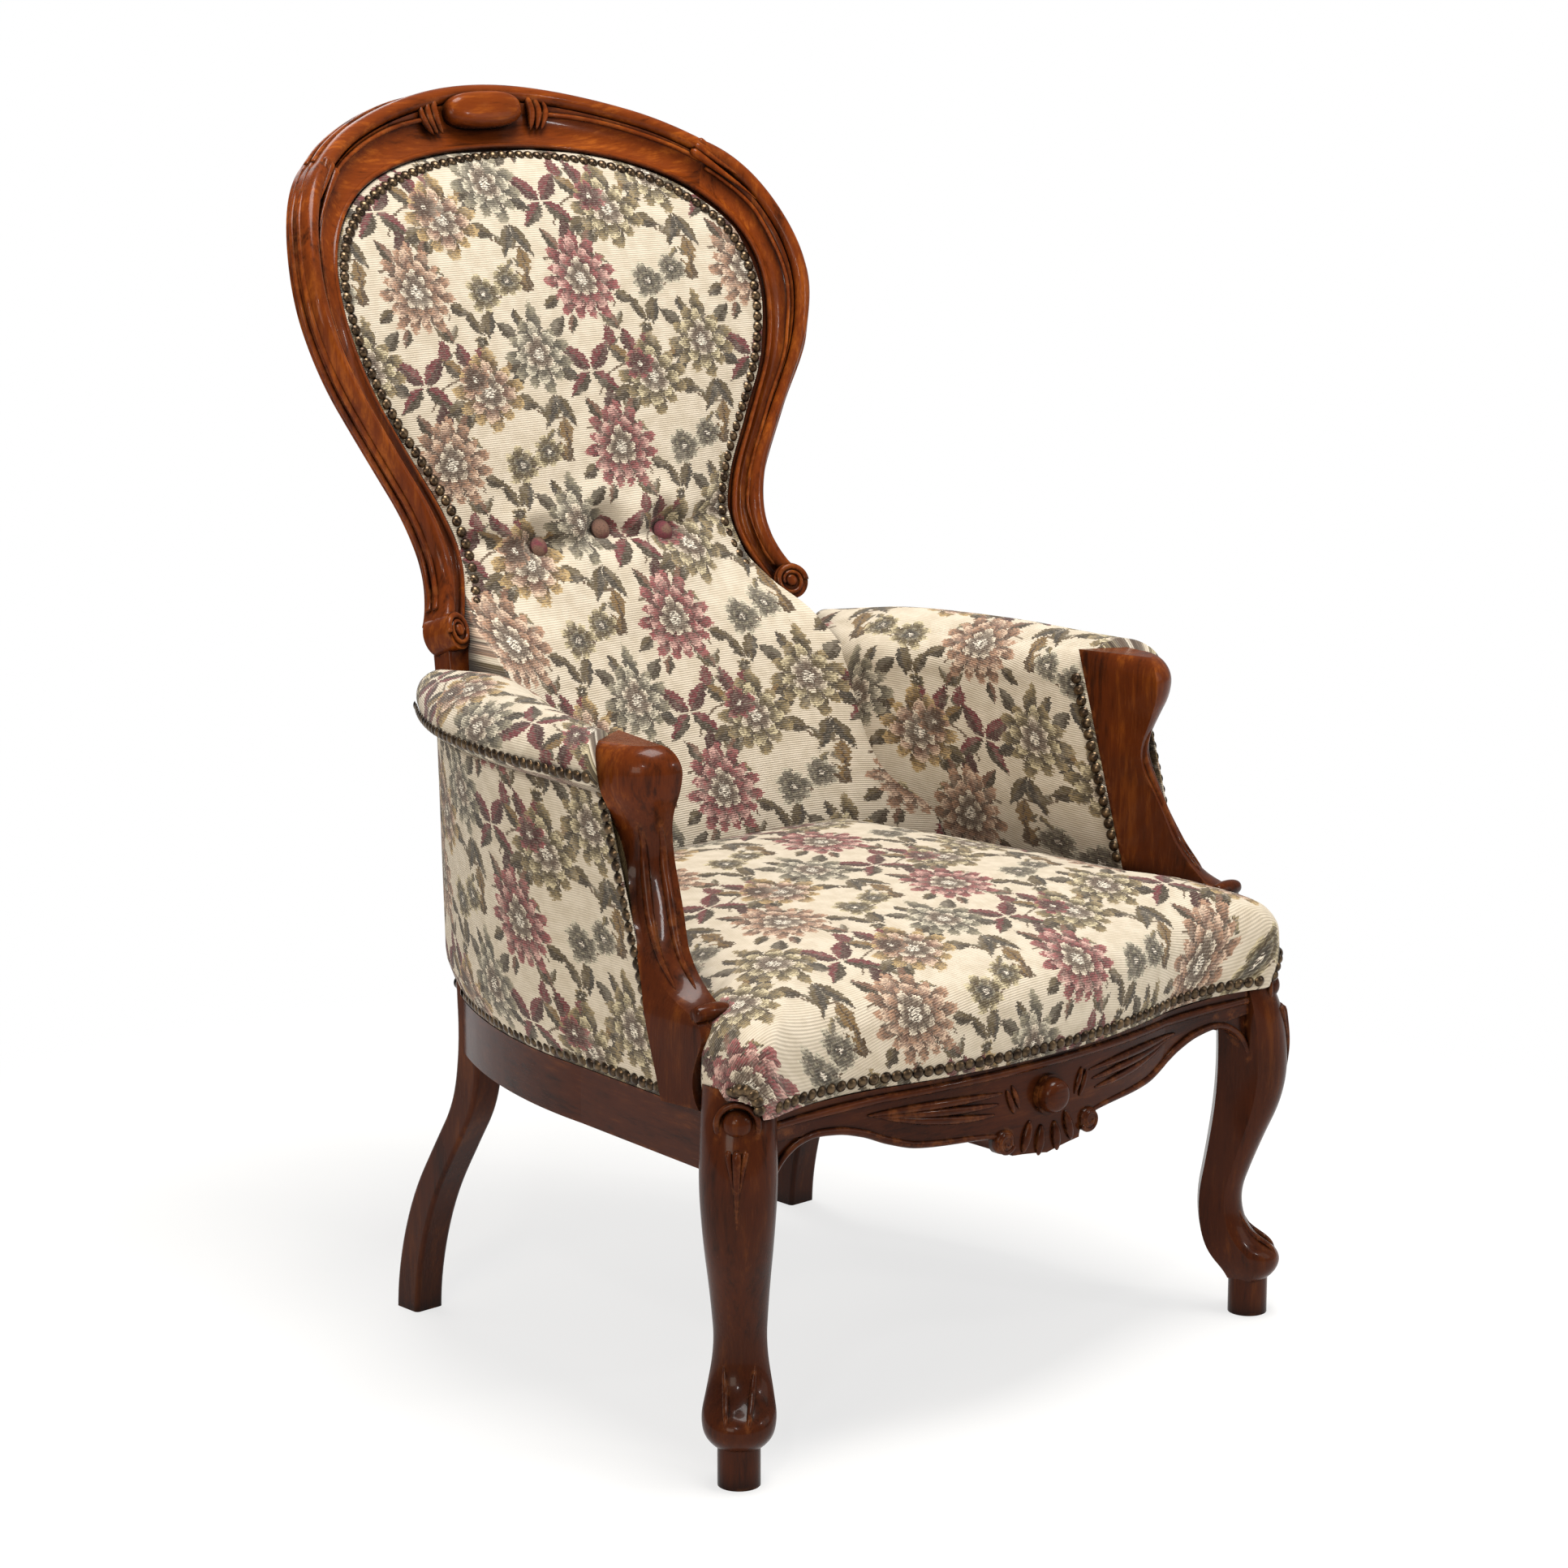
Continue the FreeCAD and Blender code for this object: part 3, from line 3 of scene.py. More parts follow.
import bpy
import numpy as np
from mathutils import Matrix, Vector


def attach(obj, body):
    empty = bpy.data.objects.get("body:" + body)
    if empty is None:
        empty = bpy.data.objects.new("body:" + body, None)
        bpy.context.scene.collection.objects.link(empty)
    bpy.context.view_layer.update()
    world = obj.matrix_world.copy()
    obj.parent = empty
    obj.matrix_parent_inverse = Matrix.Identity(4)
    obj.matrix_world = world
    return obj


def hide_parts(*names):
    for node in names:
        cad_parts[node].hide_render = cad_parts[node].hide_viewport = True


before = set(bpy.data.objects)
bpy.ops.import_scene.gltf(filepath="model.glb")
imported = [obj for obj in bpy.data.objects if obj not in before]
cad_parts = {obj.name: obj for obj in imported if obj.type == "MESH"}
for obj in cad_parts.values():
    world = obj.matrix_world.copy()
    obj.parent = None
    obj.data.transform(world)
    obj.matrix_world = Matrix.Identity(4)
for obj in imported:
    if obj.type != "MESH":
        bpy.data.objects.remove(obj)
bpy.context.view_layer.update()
scene = bpy.context.scene
scene.view_settings.view_transform = "Standard"
MM = 0.001
TURN = 2 * math.pi
SIDES = ((-1, "left"), (1, "right"))


# Values in a node tree


def lin(r, g, b):
    """Linear colour of an sRGB colour from 0 to 255."""
    out = []
    for c in (r, g, b):
        c = c / 255.0
        out.append(c / 12.92 if c <= 0.04045 else ((c + 0.055) / 1.055) ** 2.4)
    return (*out, 1.0)


def feed(socket, value):
    """Link a value of the tree to a socket, or set the socket to a plain number or colour."""
    if isinstance(value, Val):
        value.tree.links.new(value.socket, socket)
    else:
        socket.default_value = value


def maths(kind):
    """Method that makes a math node of this kind."""
    return lambda value, *others: value.op(kind, *others)


class Val:
    """A number or colour in a material's node tree, with arithmetic."""

    def __init__(self, tree, socket):
        self.tree = tree
        self.socket = socket

    def op(self, kind, *others):
        node = self.tree.nodes.new("ShaderNodeMath")
        node.operation = kind
        for socket, value in zip(node.inputs, (self, *others)):
            feed(socket, value)
        return Val(self.tree, node.outputs[0])

    __add__ = maths("ADD")
    __sub__ = maths("SUBTRACT")
    __mul__ = maths("MULTIPLY")
    __truediv__ = maths("DIVIDE")
    below = maths("LESS_THAN")
    above = maths("GREATER_THAN")
    most = maths("MAXIMUM")
    mod = maths("FLOORED_MODULO")
    power = maths("POWER")
    angle_from = maths("ARCTAN2")
    abs = maths("ABSOLUTE")
    sin = maths("SINE")
    floor = maths("FLOOR")
    fract = maths("FRACT")

    def from_(self, number):
        """number - self"""
        return self * -1.0 + number

    def wrap(self, period):
        return self.op("WRAP", period / 2, -period / 2)

    def ramp(self, low, high):
        """0 at low, 1 at high, smooth between."""
        node = self.tree.nodes.new("ShaderNodeMapRange")
        node.interpolation_type = "SMOOTHSTEP"
        for name, value in (("Value", self), ("From Min", low), ("From Max", high)):
            feed(node.inputs[name], value)
        return Val(self.tree, node.outputs["Result"])


class Kit:
    """Shorthand for common nodes in one tree."""

    def __init__(self, tree):
        self.tree = tree

    def node(self, kind, sockets=None, **settings):
        """A new node with these settings, and with values or links for its sockets."""
        node = self.tree.nodes.new(kind)
        for key, value in settings.items():
            setattr(node, key, value)
        for key, value in (sockets or {}).items():
            feed(node.inputs[key], value)
        return node

    def val(self, socket):
        return Val(self.tree, socket)

    def use(self, group, **sockets):
        """A copy of a node group with these inputs; its outputs by name."""
        node = self.node("ShaderNodeGroup", sockets, node_tree=group)
        return {s.name: self.val(s) for s in node.outputs}

    def position(self):
        """The piece's own coordinates, in metres."""
        return self.val(self.node("ShaderNodeTexCoord").outputs["Object"])

    def split(self, vector):
        node = self.node("ShaderNodeSeparateXYZ", {0: vector})
        return [self.val(s) for s in node.outputs]

    def scaled(self, vector, x, y, z):
        node = self.node("ShaderNodeMapping", {"Vector": vector, "Scale": (x, y, z)})
        return self.val(node.outputs[0])

    def noise(self, vector, scale, detail, rough, distortion=0.0):
        sockets = {"Vector": vector, "Scale": scale, "Detail": detail}
        sockets |= {"Roughness": rough, "Distortion": distortion}
        return self.val(self.node("ShaderNodeTexNoise", sockets).outputs["Fac"])

    def mix(self, factor, a, b):
        node = self.node("ShaderNodeMix", data_type="RGBA")
        for index, value in ((0, factor), (6, a), (7, b)):
            feed(node.inputs[index], value)
        return self.val(node.outputs[2])

    def bump(self, height, distance, strength, under=None):
        node = self.node("ShaderNodeBump", {"Strength": strength, "Distance": distance, "Height": height})
        if under is not None:
            feed(node.inputs["Normal"], under)
        return self.val(node.outputs[0])

    def occlusion(self, reach, inside=False):
        node = self.node("ShaderNodeAmbientOcclusion", {"Distance": reach}, samples=6, inside=inside)
        return self.val(node.outputs["AO"])

    def paint_hollow_shade(self, colour, reach, low, high, strength, dirt_and_shade):
        """The colour with painted shade darkening the hollows, in the given shadow colour."""
        hollow = self.occlusion(reach).ramp(low, high)
        return self.mix(hollow.from_(1.0) * strength, colour, lin(*dirt_and_shade))


class Look(Kit):
    """A material being built, with its shader."""

    def __init__(self, name):
        self.material = bpy.data.materials.new(name)
        self.material.use_nodes = True
        super().__init__(self.material.node_tree)
        self.shader = self.tree.nodes["Principled BSDF"]

    def done(self, **sockets):
        """The material, with these values on its shader's sockets."""
        for name, value in sockets.items():
            feed(self.shader.inputs[name.replace("_", " ")], value)
        return self.material


def group(name, inputs, outputs, body):
    """Node group: names of number inputs are in small letters, and of colours in capitals."""
    tree = bpy.data.node_groups.new(name, "ShaderNodeTree")
    inputs, outputs = inputs.split(), outputs.split()
    for label in inputs + outputs:
        tree.interface.new_socket(
            label,
            in_out="INPUT" if label in inputs else "OUTPUT",
            socket_type="NodeSocketFloat" if label.islower() else "NodeSocketColor",
        )
    start = tree.nodes.new("NodeGroupInput")
    results = body(Kit(tree), *[Val(tree, start.outputs[label]) for label in inputs])
    end = tree.nodes.new("NodeGroupOutput")
    for label, value in zip(outputs, results):
        feed(end.inputs[label], value)
    return tree


# Wood, metal and hidden materials


def polished_wood(name, stretch):
    """Stained mahogany with its grain along the direction that stretch makes long."""
    look = Look(name)
    place = look.position()
    along = look.scaled(place, *stretch)
    broad = look.noise(along, 26.0, 4.0, 0.55, 0.5)
    streak = look.noise(along, 150.0, 4.0, 0.6, 0.2)
    pores = look.noise(along, 520.0, 2.0, 0.6)
    grain = broad * 0.45 + streak * 0.40 + pores * 0.15
    dark, middle, pale = lin(54, 22, 6), lin(108, 47, 12), lin(150, 77, 22)
    colour = look.mix(grain.ramp(0.34, 0.50), dark, middle)
    colour = look.mix(grain.ramp(0.50, 0.66), colour, pale)
    patches = look.noise(place, 11.0, 3.0, 0.6)
    colour = look.mix(patches.ramp(0.40, 0.75) * 0.4, colour, lin(56, 25, 9))
    # Painted shade: the wood darker towards the feet, where less light falls.
    low = look.split(place)[2].ramp(0.22, 0.92).from_(1.0)
    colour = look.mix(low * 0.76, colour, lin(30, 14, 8))
    # Painted shade: the hollows and carved recesses of the wood darkened.
    colour = look.paint_hollow_shade(colour, 0.020, 0.35, 0.97, 0.92, (14, 6, 4))
    edge = look.occlusion(0.004, inside=True).ramp(0.55, 0.92).from_(1.0)
    worn = look.noise(place, 90.0, 4.0, 0.7).ramp(0.46, 0.66)
    colour = look.mix(edge * worn * 0.22, colour, lin(150, 88, 44))
    specks = look.noise(place, 420.0, 2.0, 0.7).ramp(0.70, 0.78)
    colour = look.mix(specks * 0.35, colour, lin(26, 12, 7))
    fine = look.bump(streak * 0.5 + pores * 0.5, 0.0003, 0.3)
    wavy = look.noise(place, 45.0, 2.0, 0.5)
    return look.done(
        Base_Color=colour,
        Roughness=patches * 0.12 + pores * 0.06 + 0.17,
        Specular_IOR_Level=0.06,
        Coat_Weight=0.10,
        Coat_Roughness=0.07,
        Normal=look.bump(wavy, 0.0010, 0.25, fine),
    )


def raw_wood(name):
    """Pale unpolished wood of the hidden frame, a little soiled."""
    look = Look(name)
    place = look.position()
    grain = look.noise(look.scaled(place, 3.0, 3.0, 1.0), 28.0, 4.0, 0.6, 0.8)
    colour = look.mix(grain.ramp(0.3, 0.7), lin(150, 112, 72), lin(198, 160, 112))
    dirt_and_shade = look.noise(place, 20.0, 3.0, 0.6).ramp(0.5, 0.8)
    colour = look.mix(dirt_and_shade * 0.5, colour, lin(96, 70, 46))
    return look.done(Base_Color=colour, Roughness=grain * 0.2 + 0.6, Normal=look.bump(grain, 0.0005, 0.4))


def bronze(name):
    """Antique domed nails, with painted shade in the gaps and mottled on the crowns."""
    look = Look(name)
    mottle = look.noise(look.position(), 160.0, 3.0, 0.6)
    colour = look.mix(mottle.ramp(0.35, 0.7), lin(52, 41, 32), lin(112, 92, 68))
    # Painted shade: the nails darkened in the gaps between them and round their rims.
    colour = look.paint_hollow_shade(colour, 0.006, 0.42, 0.98, 0.95, (12, 9, 7))
    bump = look.bump(mottle, 0.0002, 0.4)
    return look.done(Base_Color=colour, Metallic=0.9, Roughness=mottle * 0.2 + 0.2, Normal=bump)


def coarse_cloth(name, pale, dark, pitch):
    """Open plain weave: hessian, webbing or dust cloth."""
    look = Look(name)
    place = look.position()
    x, y, z = look.split(place)
    warp = ((x + z * 0.4) * (TURN / pitch)).sin()
    weft = ((y + z * 0.6) * (TURN / pitch)).sin()
    weave = warp * weft
    slubs = look.noise(place, 300.0, 3.0, 0.6)
    shade = (weave * 0.25 + slubs * 0.5 + 0.25).ramp(0.1, 0.9)
    colour = look.mix(shade, dark, pale)
    return look.done(Base_Color=colour, Roughness=slubs * 0.1 + 0.85, Normal=look.bump(weave, 0.0004, 0.5))


def steel(name):
    """Plain steel with spots of rust."""
    look = Look(name)
    spots = look.noise(look.position(), 90.0, 4.0, 0.65)
    colour = look.mix(spots.ramp(0.45, 0.7), lin(126, 124, 120), lin(94, 70, 52))
    bump = look.bump(spots, 0.0001, 0.3)
    return look.done(Base_Color=colour, Metallic=0.9, Roughness=spots * 0.3 + 0.3, Normal=bump)


# Floral tapestry: one repeat, drawn in millimetres across (u) and up (v)

REPEAT_U = 194.0
REPEAT_V = 160.0
ROW = 1.5
WEFT_PITCH = 2.0
WARP_PITCH = 1.3
OUTLINE = lin(50, 39, 33)
GROUND = lin(206, 194, 174)
SHADED = lin(190, 177, 155)
PALE = lin(226, 216, 198)
TWIG = lin(92, 76, 60)


def leaf_body(kit, Under, u, v, rag, thread, middle, x, y, cosine, sine, length, width, Dark, Light):
    """A pair of ragged, veined leaves, one on each side of an upright line at middle."""
    dx = (u - middle).wrap(REPEAT_U).abs() - x
    dy = (v - y).wrap(REPEAT_V)
    a = dx * cosine + dy * sine
    b = dy * cosine - dx * sine
    q = a / length * 2.0
    half = (q * q * -1.0 + 1.0) * (q * -0.28 + 0.72).most(0.3) * width * 0.5
    depth = half - b.abs() + rag * 5.0
    colour = kit.mix((b + rag * 4.0).above(0.0), Dark, Light)
    line = b.abs().below(0.6).most(thread.above(0.53))
    colour = kit.mix(line * 0.7, colour, OUTLINE)
    return [kit.mix(depth.above(0.0), Under, colour)]


def spot_body(kit, u, v, x, y, wide, tall, plume):
    """Radius and angle about a blossom's middle, and whether its column is an odd one."""
    a = (u - x).wrap(REPEAT_U) / wide * 2.0
    b = (v - y).wrap(REPEAT_V) / tall * 2.0
    b = b * (a.abs().ramp(0.0, 0.5).from_(1.0) * b.above(0.0) * plume * -1.0 + 1.0)
    radius = (a * a + b * b).power(0.5)
    odd = ((u - x) / REPEAT_U + 0.5).floor().mod(2.0)
    return [radius, b.angle_from(a), odd]


def ring_body(kit, Under, radius, angle, odd, rag, thread, count, turn, reach, notch, *tints):
    """One whorl of pointed petals out to reach: shaded, outlined and parted by dark lines."""
    dark, middle, light = (kit.mix(odd, tints[k], tints[k + 3]) for k in range(3))
    place = angle * count / TURN + turn
    off = (place.fract() - 0.5).abs() * 2.0
    uneven = (place.floor() * 2.4 + reach * 9.0).sin() * 0.09
    tip = (off.power(2.4) * notch).from_(1.0) + uneven
    depth = tip - radius / reach + rag * 0.34
    inward = depth.ramp(0.0, 0.42)
    colour = kit.mix(inward, light, middle)
    colour = kit.mix((inward - off * 0.25).ramp(0.55, 0.95), colour, dark)
    colour = kit.mix((thread + off * 0.26).ramp(0.48, 0.62) * 0.85, colour, dark)
    colour = kit.mix(depth.below(0.07) * 0.7, colour, light)
    colour = kit.mix((off + rag).above(0.80) * 0.85, colour, OUTLINE)
    return [kit.mix(depth.above(0.0), Under, colour)]


def heart_body(kit, Under, radius, rag, thread):
    """Speckled seeds in the middle of a blossom."""
    seeds = kit.mix(thread.above(0.50), PALE, OUTLINE)
    return [kit.mix((radius + rag * 0.2).below(0.15), Under, seeds)]


def stem_body(kit, Under, u, v, rag, x, y, radius, start, sweep):
    """Thin curved stalk on part of a circle."""
    dx = (u - x).wrap(REPEAT_U)
    dy = (v - y).wrap(REPEAT_V)
    away = ((dx * dx + dy * dy).power(0.5) - radius + rag * 2.2).abs()
    turn = (dy.angle_from(dx) - start).mod(TURN)
    return [kit.mix(away.below(1.0) * turn.below(sweep), Under, TWIG)]


LEAF_INPUTS = "Under u v rag thread middle x y cosine sine length width Dark Light"
LEAF = group("leaf", LEAF_INPUTS, "Colour", leaf_body)
SPOT = group("spot", "u v x y wide tall plume", "radius angle odd", spot_body)
RING_INPUTS = "Under radius angle odd rag thread count turn reach notch A1 B1 C1 A2 B2 C2"
RING = group("ring", RING_INPUTS, "Colour", ring_body)
HEART = group("heart", "Under radius rag thread", "Colour", heart_body)
STEM = group("stem", "Under u v rag x y radius start sweep", "Colour", stem_body)


class Weave:
    """Motifs painted one over another on the repeat of the tapestry."""

    def __init__(self, look, u, v):
        self.look = look
        row = (v / ROW).floor() * ROW
        chance = look.node("ShaderNodeTexWhiteNoise", noise_dimensions="1D")
        feed(chance.inputs["W"], row)
        self.u = u
        self.v = v
        place = look.val(look.node("ShaderNodeCombineXYZ", {0: u * MM, 1: v * MM}).outputs[0])
        self.rag = look.noise(place, 300.0, 3.0, 0.65) - 0.5
        self.thread = look.noise(look.scaled(place, 0.55, 2.2, 1.0), 480.0, 2.0, 0.6)
        self.blot = look.noise(place, 60.0, 3.0, 0.6)
        wander = self.rag + self.thread * 0.4 + self.blot * 0.8
        self.across = u + (look.val(chance.outputs["Value"]) - 0.5) * 3.0 + wander * 1.5
        self.up = row + ROW / 2 + wander * 1.2
        self.colour = look.mix(self.blot.ramp(0.35, 0.7), GROUND, SHADED)

    def paint(self, motif, **sockets):
        self.colour = self.look.use(motif, Under=self.colour, rag=self.rag, **sockets)["Colour"]

    def bloom(self, x, y, wide, tall, whorls, plume=0.0):
        """Blossom of whorls, from the outer one inwards, with the seeds at its heart."""
        spot = self.look.use(SPOT, u=self.across, v=self.up, x=x, y=y, wide=wide, tall=tall, plume=plume)
        for count, turn, reach, notch, even, odd in whorls:
            sizes = {"count": count, "turn": turn, "reach": reach, "notch": notch}
            tints = dict(zip(("A1", "B1", "C1", "A2", "B2", "C2"), (*even, *odd)))
            self.paint(RING, thread=self.thread, **spot, **sizes, **tints)
        self.paint(HEART, thread=self.thread, radius=spot["radius"])

    def leaves(self, middle, x, y, turn, length, width, dark, light, many=1.0):
        """Leaves growing from x to each side of an upright line, drawn many times finer in a repeat."""
        c, s = math.cos(turn), math.sin(turn)
        place = {"middle": middle, "x": x + c * length / 2, "y": y + s * length / 2, "cosine": c, "sine": s}
        sizes = {"length": length, "width": width, "Dark": dark, "Light": light}
        self.paint(LEAF, u=self.across * many, v=self.up * many, thread=self.thread, **place, **sizes)

    def stem(self, x, y, radius, start, sweep):
        self.paint(STEM, u=self.across, v=self.up, x=x, y=y, radius=radius, start=start, sweep=sweep)

    def finish(self):
        """Ribs of the weave, worn patches and painted shade in the hollows."""
        cloth = self.look
        weft = (self.v * (TURN / WEFT_PITCH)).sin()
        warp = (self.u * (TURN / WARP_PITCH)).sin()
        ridge = weft * 0.5 + 0.5
        worn = self.blot.ramp(0.50, 0.72) * 0.14 + self.thread.ramp(0.44, 0.60) * ridge * 0.24
        self.colour = cloth.mix(worn, self.colour, GROUND)
        self.colour = cloth.mix(ridge.from_(1.0) * 0.24, self.colour, TWIG)
        # Painted shade: the cloth darkened in hollows, along the frame and round the buttons.
        self.colour = cloth.paint_hollow_shade(self.colour, 0.08, 0.15, 0.95, 0.62, (44, 32, 24))
        self.height = weft * 0.7 + warp * 0.15 + self.thread * 0.7


def tones(*colours):
    """Dark, middle and light tone of one dye."""
    return [lin(*c) for c in colours]


WINE = tones((62, 28, 32), (106, 42, 50), (150, 84, 84))
WINE_PALE = tones((78, 38, 42), (144, 82, 82), (208, 166, 154))
FADED = tones((66, 48, 40), (112, 80, 64), (172, 134, 108))
FADED_PALE = tones((88, 62, 52), (152, 112, 92), (214, 186, 160))
CREAM = tones((84, 70, 60), (166, 150, 130), (226, 213, 190))
OLIVE = tones((52, 46, 34), (90, 78, 54), (146, 128, 92))
OLIVE_PALE = tones((74, 64, 44), (132, 118, 84), (206, 192, 156))
SAGE = tones((56, 54, 48), (94, 88, 74), (146, 138, 116))
SAGE_PALE = tones((78, 74, 64), (134, 126, 108), (206, 197, 174))
GOLD = tones((74, 56, 34), (122, 96, 58), (182, 154, 106))

# Stems: middle x and y, radius, start and sweep of the turn
STEMS = [
    (-30, -40, 62, 0.2, 1.5),
    (120, -62, 58, 1.3, 1.2),
    (30, -128, 46, 1.2, 1.5),
    (-66, -92, 34, 3.6, 1.6),
]
# Leaves: middle line, root x and y, turn, length, width, dark and light tone, times finer
LEAVES = [
    (48, 3, 66, 0.9, 40, 20, OLIVE[1], SAGE_PALE[1], 2.0),
    (48, 2, 48, 5.5, 32, 17, SAGE[1], OLIVE_PALE[1], 2.0),
    (-16, 1, -84, 0.75, 38, 22, WINE[0], WINE[1]),
    (-16, 2, -86, 5.6, 36, 20, OLIVE[0], WINE[1]),
    (-64, 1, -104, 5.2, 36, 17, SAGE[0], OLIVE[1]),
    (-60, 0, -126, 4.75, 27, 19, FADED[0], GOLD[1]),
    (64, 1, -44, 1.1, 31, 14, OLIVE[0], OLIVE[1]),
    (14, 0, -64, 1.5, 20, 17, WINE[1], WINE_PALE[1]),
    (0, 0, 30, 1.57, 29, 25, WINE[0], FADED[1]),
    (0, 16, 28, 1.0, 27, 17, OLIVE[0], FADED[1]),
    (0, 33, -14, 5.8, 22, 16, OLIVE[0], OLIVE[1]),
    (0, 19, -32, 5.2, 20, 14, OLIVE[0], FADED[1]),
    (-72, 20, -50, 0.7, 27, 19, OLIVE[0], SAGE[1]),
    (-72, 21, -82, 5.8, 22, 17, OLIVE[0], SAGE[0]),
    (56, 26, -80, 0.7, 27, 20, OLIVE[0], GOLD[1]),
    (56, 28, -104, 5.9, 27, 20, OLIVE[0], OLIVE[1]),
    (46, 6, -74, 1.2, 29, 20, WINE[0], WINE[1]),
    (128, 0, -8, 1.3, 22, 16, GOLD[0], GOLD[1]),
    (92, 12, -22, 5.1, 29, 14, SAGE[0], OLIVE[1]),
]
# Whorls: number of petals, turn, reach, notch, tones in even and odd columns
OLIVE_BLOOM = [
    (11, 0.2, 1.0, 0.34, OLIVE, GOLD),
    (8, 0.6, 0.74, 0.32, OLIVE_PALE, FADED_PALE),
    (6, 0.2, 0.46, 0.34, CREAM, CREAM),
]
SAGE_BLOOM = [
    (11, 0.0, 1.0, 0.40, SAGE, OLIVE),
    (8, 0.5, 0.72, 0.36, SAGE_PALE, OLIVE_PALE),
    (6, 0.1, 0.44, 0.34, CREAM, CREAM),
]
WINE_BLOOM = [
    (15, 0.0, 1.0, 0.32, WINE, FADED),
    (12, 0.35, 0.78, 0.28, WINE_PALE, FADED_PALE),
    (10, 0.1, 0.58, 0.30, WINE, FADED),
    (8, 0.5, 0.42, 0.30, CREAM, CREAM),
]
DAISY = [(8, 0.3, 0.95, 0.34, SAGE_PALE, OLIVE_PALE), (6, 0.0, 0.45, 0.3, SAGE, SAGE)]
# Blossoms: middle x and y, width, height, whorls, upward plume
BLOOMS = [
    (56, -97, 77, 68, OLIVE_BLOOM, 0.25),
    (42, -84, 36, 30, [(7, 0.1, 0.95, 0.45, WINE, FADED)], 0.3),
    (-72, -67, 73, 68, SAGE_BLOOM, 0.3),
    (76, -6, 42, 38, DAISY),
    (108, 4, 36, 32, DAISY),
    (60, -50, 15, 14, [(6, 0.0, 0.95, 0.40, OLIVE, OLIVE)]),
    (0, 0, 82, 78, WINE_BLOOM, 0.2),
]


def tapestry(name):
    """The covering cloth, placed by the pieces' own flat pattern."""
    look = Look(name)
    node = look.node("ShaderNodeUVMap", uv_map="cloth")
    u, v, _ = look.split(look.val(node.outputs[0]))
    cloth = Weave(look, u / MM, v / MM)
    for stem in STEMS:
        cloth.stem(*stem)
    for leaf in LEAVES:
        cloth.leaves(*leaf)
    for bloom in BLOOMS:
        cloth.bloom(*bloom)
    cloth.finish()
    return look.done(
        Base_Color=cloth.colour,
        Roughness=cloth.thread * 0.12 + 0.82,
        Specular_IOR_Level=0.25,
        Sheen_Weight=0.10,
        Normal=look.bump(cloth.height, 0.0006, 0.45),
    )


def button_cloth(name):
    """Small pieces of the same cloth, gathered over the buttons: mostly the wine of a blossom."""
    look = Look(name)
    place = look.position()
    patch = look.noise(place, 55.0, 2.0, 0.5)
    thread = look.noise(look.scaled(place, 1.0, 1.0, 2.2), 700.0, 2.0, 0.6)
    colour = look.mix(patch.ramp(0.42, 0.55), WINE[1], FADED[1])
    colour = look.mix(thread.ramp(0.45, 0.62) * 0.5, colour, OUTLINE)
    # Painted shade: the gathered cloth darkened in its folds and round the button.
    colour = look.paint_hollow_shade(colour, 0.012, 0.2, 0.95, 0.8, (34, 24, 20))
    return look.done(Base_Color=colour, Roughness=thread * 0.1 + 0.8, Normal=look.bump(thread, 0.0006, 0.5))


# Meshes


def make_mesh(name, points, faces, material, uvs=None):
    """Smooth mesh from points in millimetres; uvs are in metres, one for each point."""
    mesh = bpy.data.meshes.new(name)
    mesh.from_pydata([tuple(float(c) * MM for c in p) for p in points], [], faces)
    if uvs is None:
        uvs = np.zeros((len(points), 2))
    layer = mesh.uv_layers.new(name="cloth")
    corners = np.empty(len(mesh.loops), np.int32)
    mesh.loops.foreach_get("vertex_index", corners)
    layer.data.foreach_set("uv", np.asarray(uvs, np.float32)[corners].ravel())
    mesh.polygons.foreach_set("use_smooth", [True] * len(mesh.polygons))
    mesh.update()
    obj = bpy.data.objects.new(name, mesh)
    bpy.context.collection.objects.link(obj)
    mesh.materials.append(material)
    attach(obj, "root")
    return obj


def grid_faces(rows, columns, start=0, flip=False, ring=False):
    """Quads between rows of points, numbered from start; a ring closes each row on itself."""
    faces = []
    for i in range(rows - 1):
        for j in range(columns if ring else columns - 1):
            k = (j + 1) % columns
            a, b = start + i * columns + j, start + i * columns + k
            d, c = a + columns, b + columns
            faces.append((a, d, c, b) if flip else (a, b, c, d))
    return faces


def fan(start, count, apex, flip=False):
    """Triangles from a ring of points, numbered from start, to its apex."""
    rim = [start + j for j in range(count)]
    if flip:
        rim.reverse()
    return [(a, b, apex) for a, b in zip(rim, rim[1:] + rim[:1])]


def tube(name, rings, caps, material, uvs=None, flip=False):
    """Closed body of rings of points, with a cap point before the first and after the last."""
    count, columns = len(rings), len(rings[0])
    points = np.concatenate([*rings, caps])
    last = count * columns
    faces = grid_faces(count, columns, flip=flip, ring=True)
    faces += fan(0, columns, last, not flip) + fan(last - columns, columns, last + 1, flip)
    return make_mesh(name, points, faces, material, uvs)


def shell(name, front, rear, uvs, material):
    """Closed cloth body between a front grid and a rear grid of the same rows and columns."""
    rows, columns = front.shape[:2]
    count = rows * columns
    points = np.concatenate([front.reshape(-1, 3), rear.reshape(-1, 3)])
    flat = uvs.reshape(-1, 2)
    faces = grid_faces(rows, columns) + grid_faces(rows, columns, count, True)
    index = np.arange(count).reshape(rows, columns)
    rim = [int(i) for i in (*index[0], *index[1:, -1], *index[-1, -2::-1], *index[-2:0:-1, 0])]
    for a, b in zip(rim, rim[1:] + rim[:1]):
        faces.append((b, a, a + count, b + count))
    return make_mesh(name, points, faces, material, np.concatenate([flat, flat]))


def straight(a, b, count):
    """Even points from one plan point to another, without the first."""
    return [(a[0] + (b[0] - a[0]) * k / count, a[1] + (b[1] - a[1]) * k / count) for k in range(1, count + 1)]


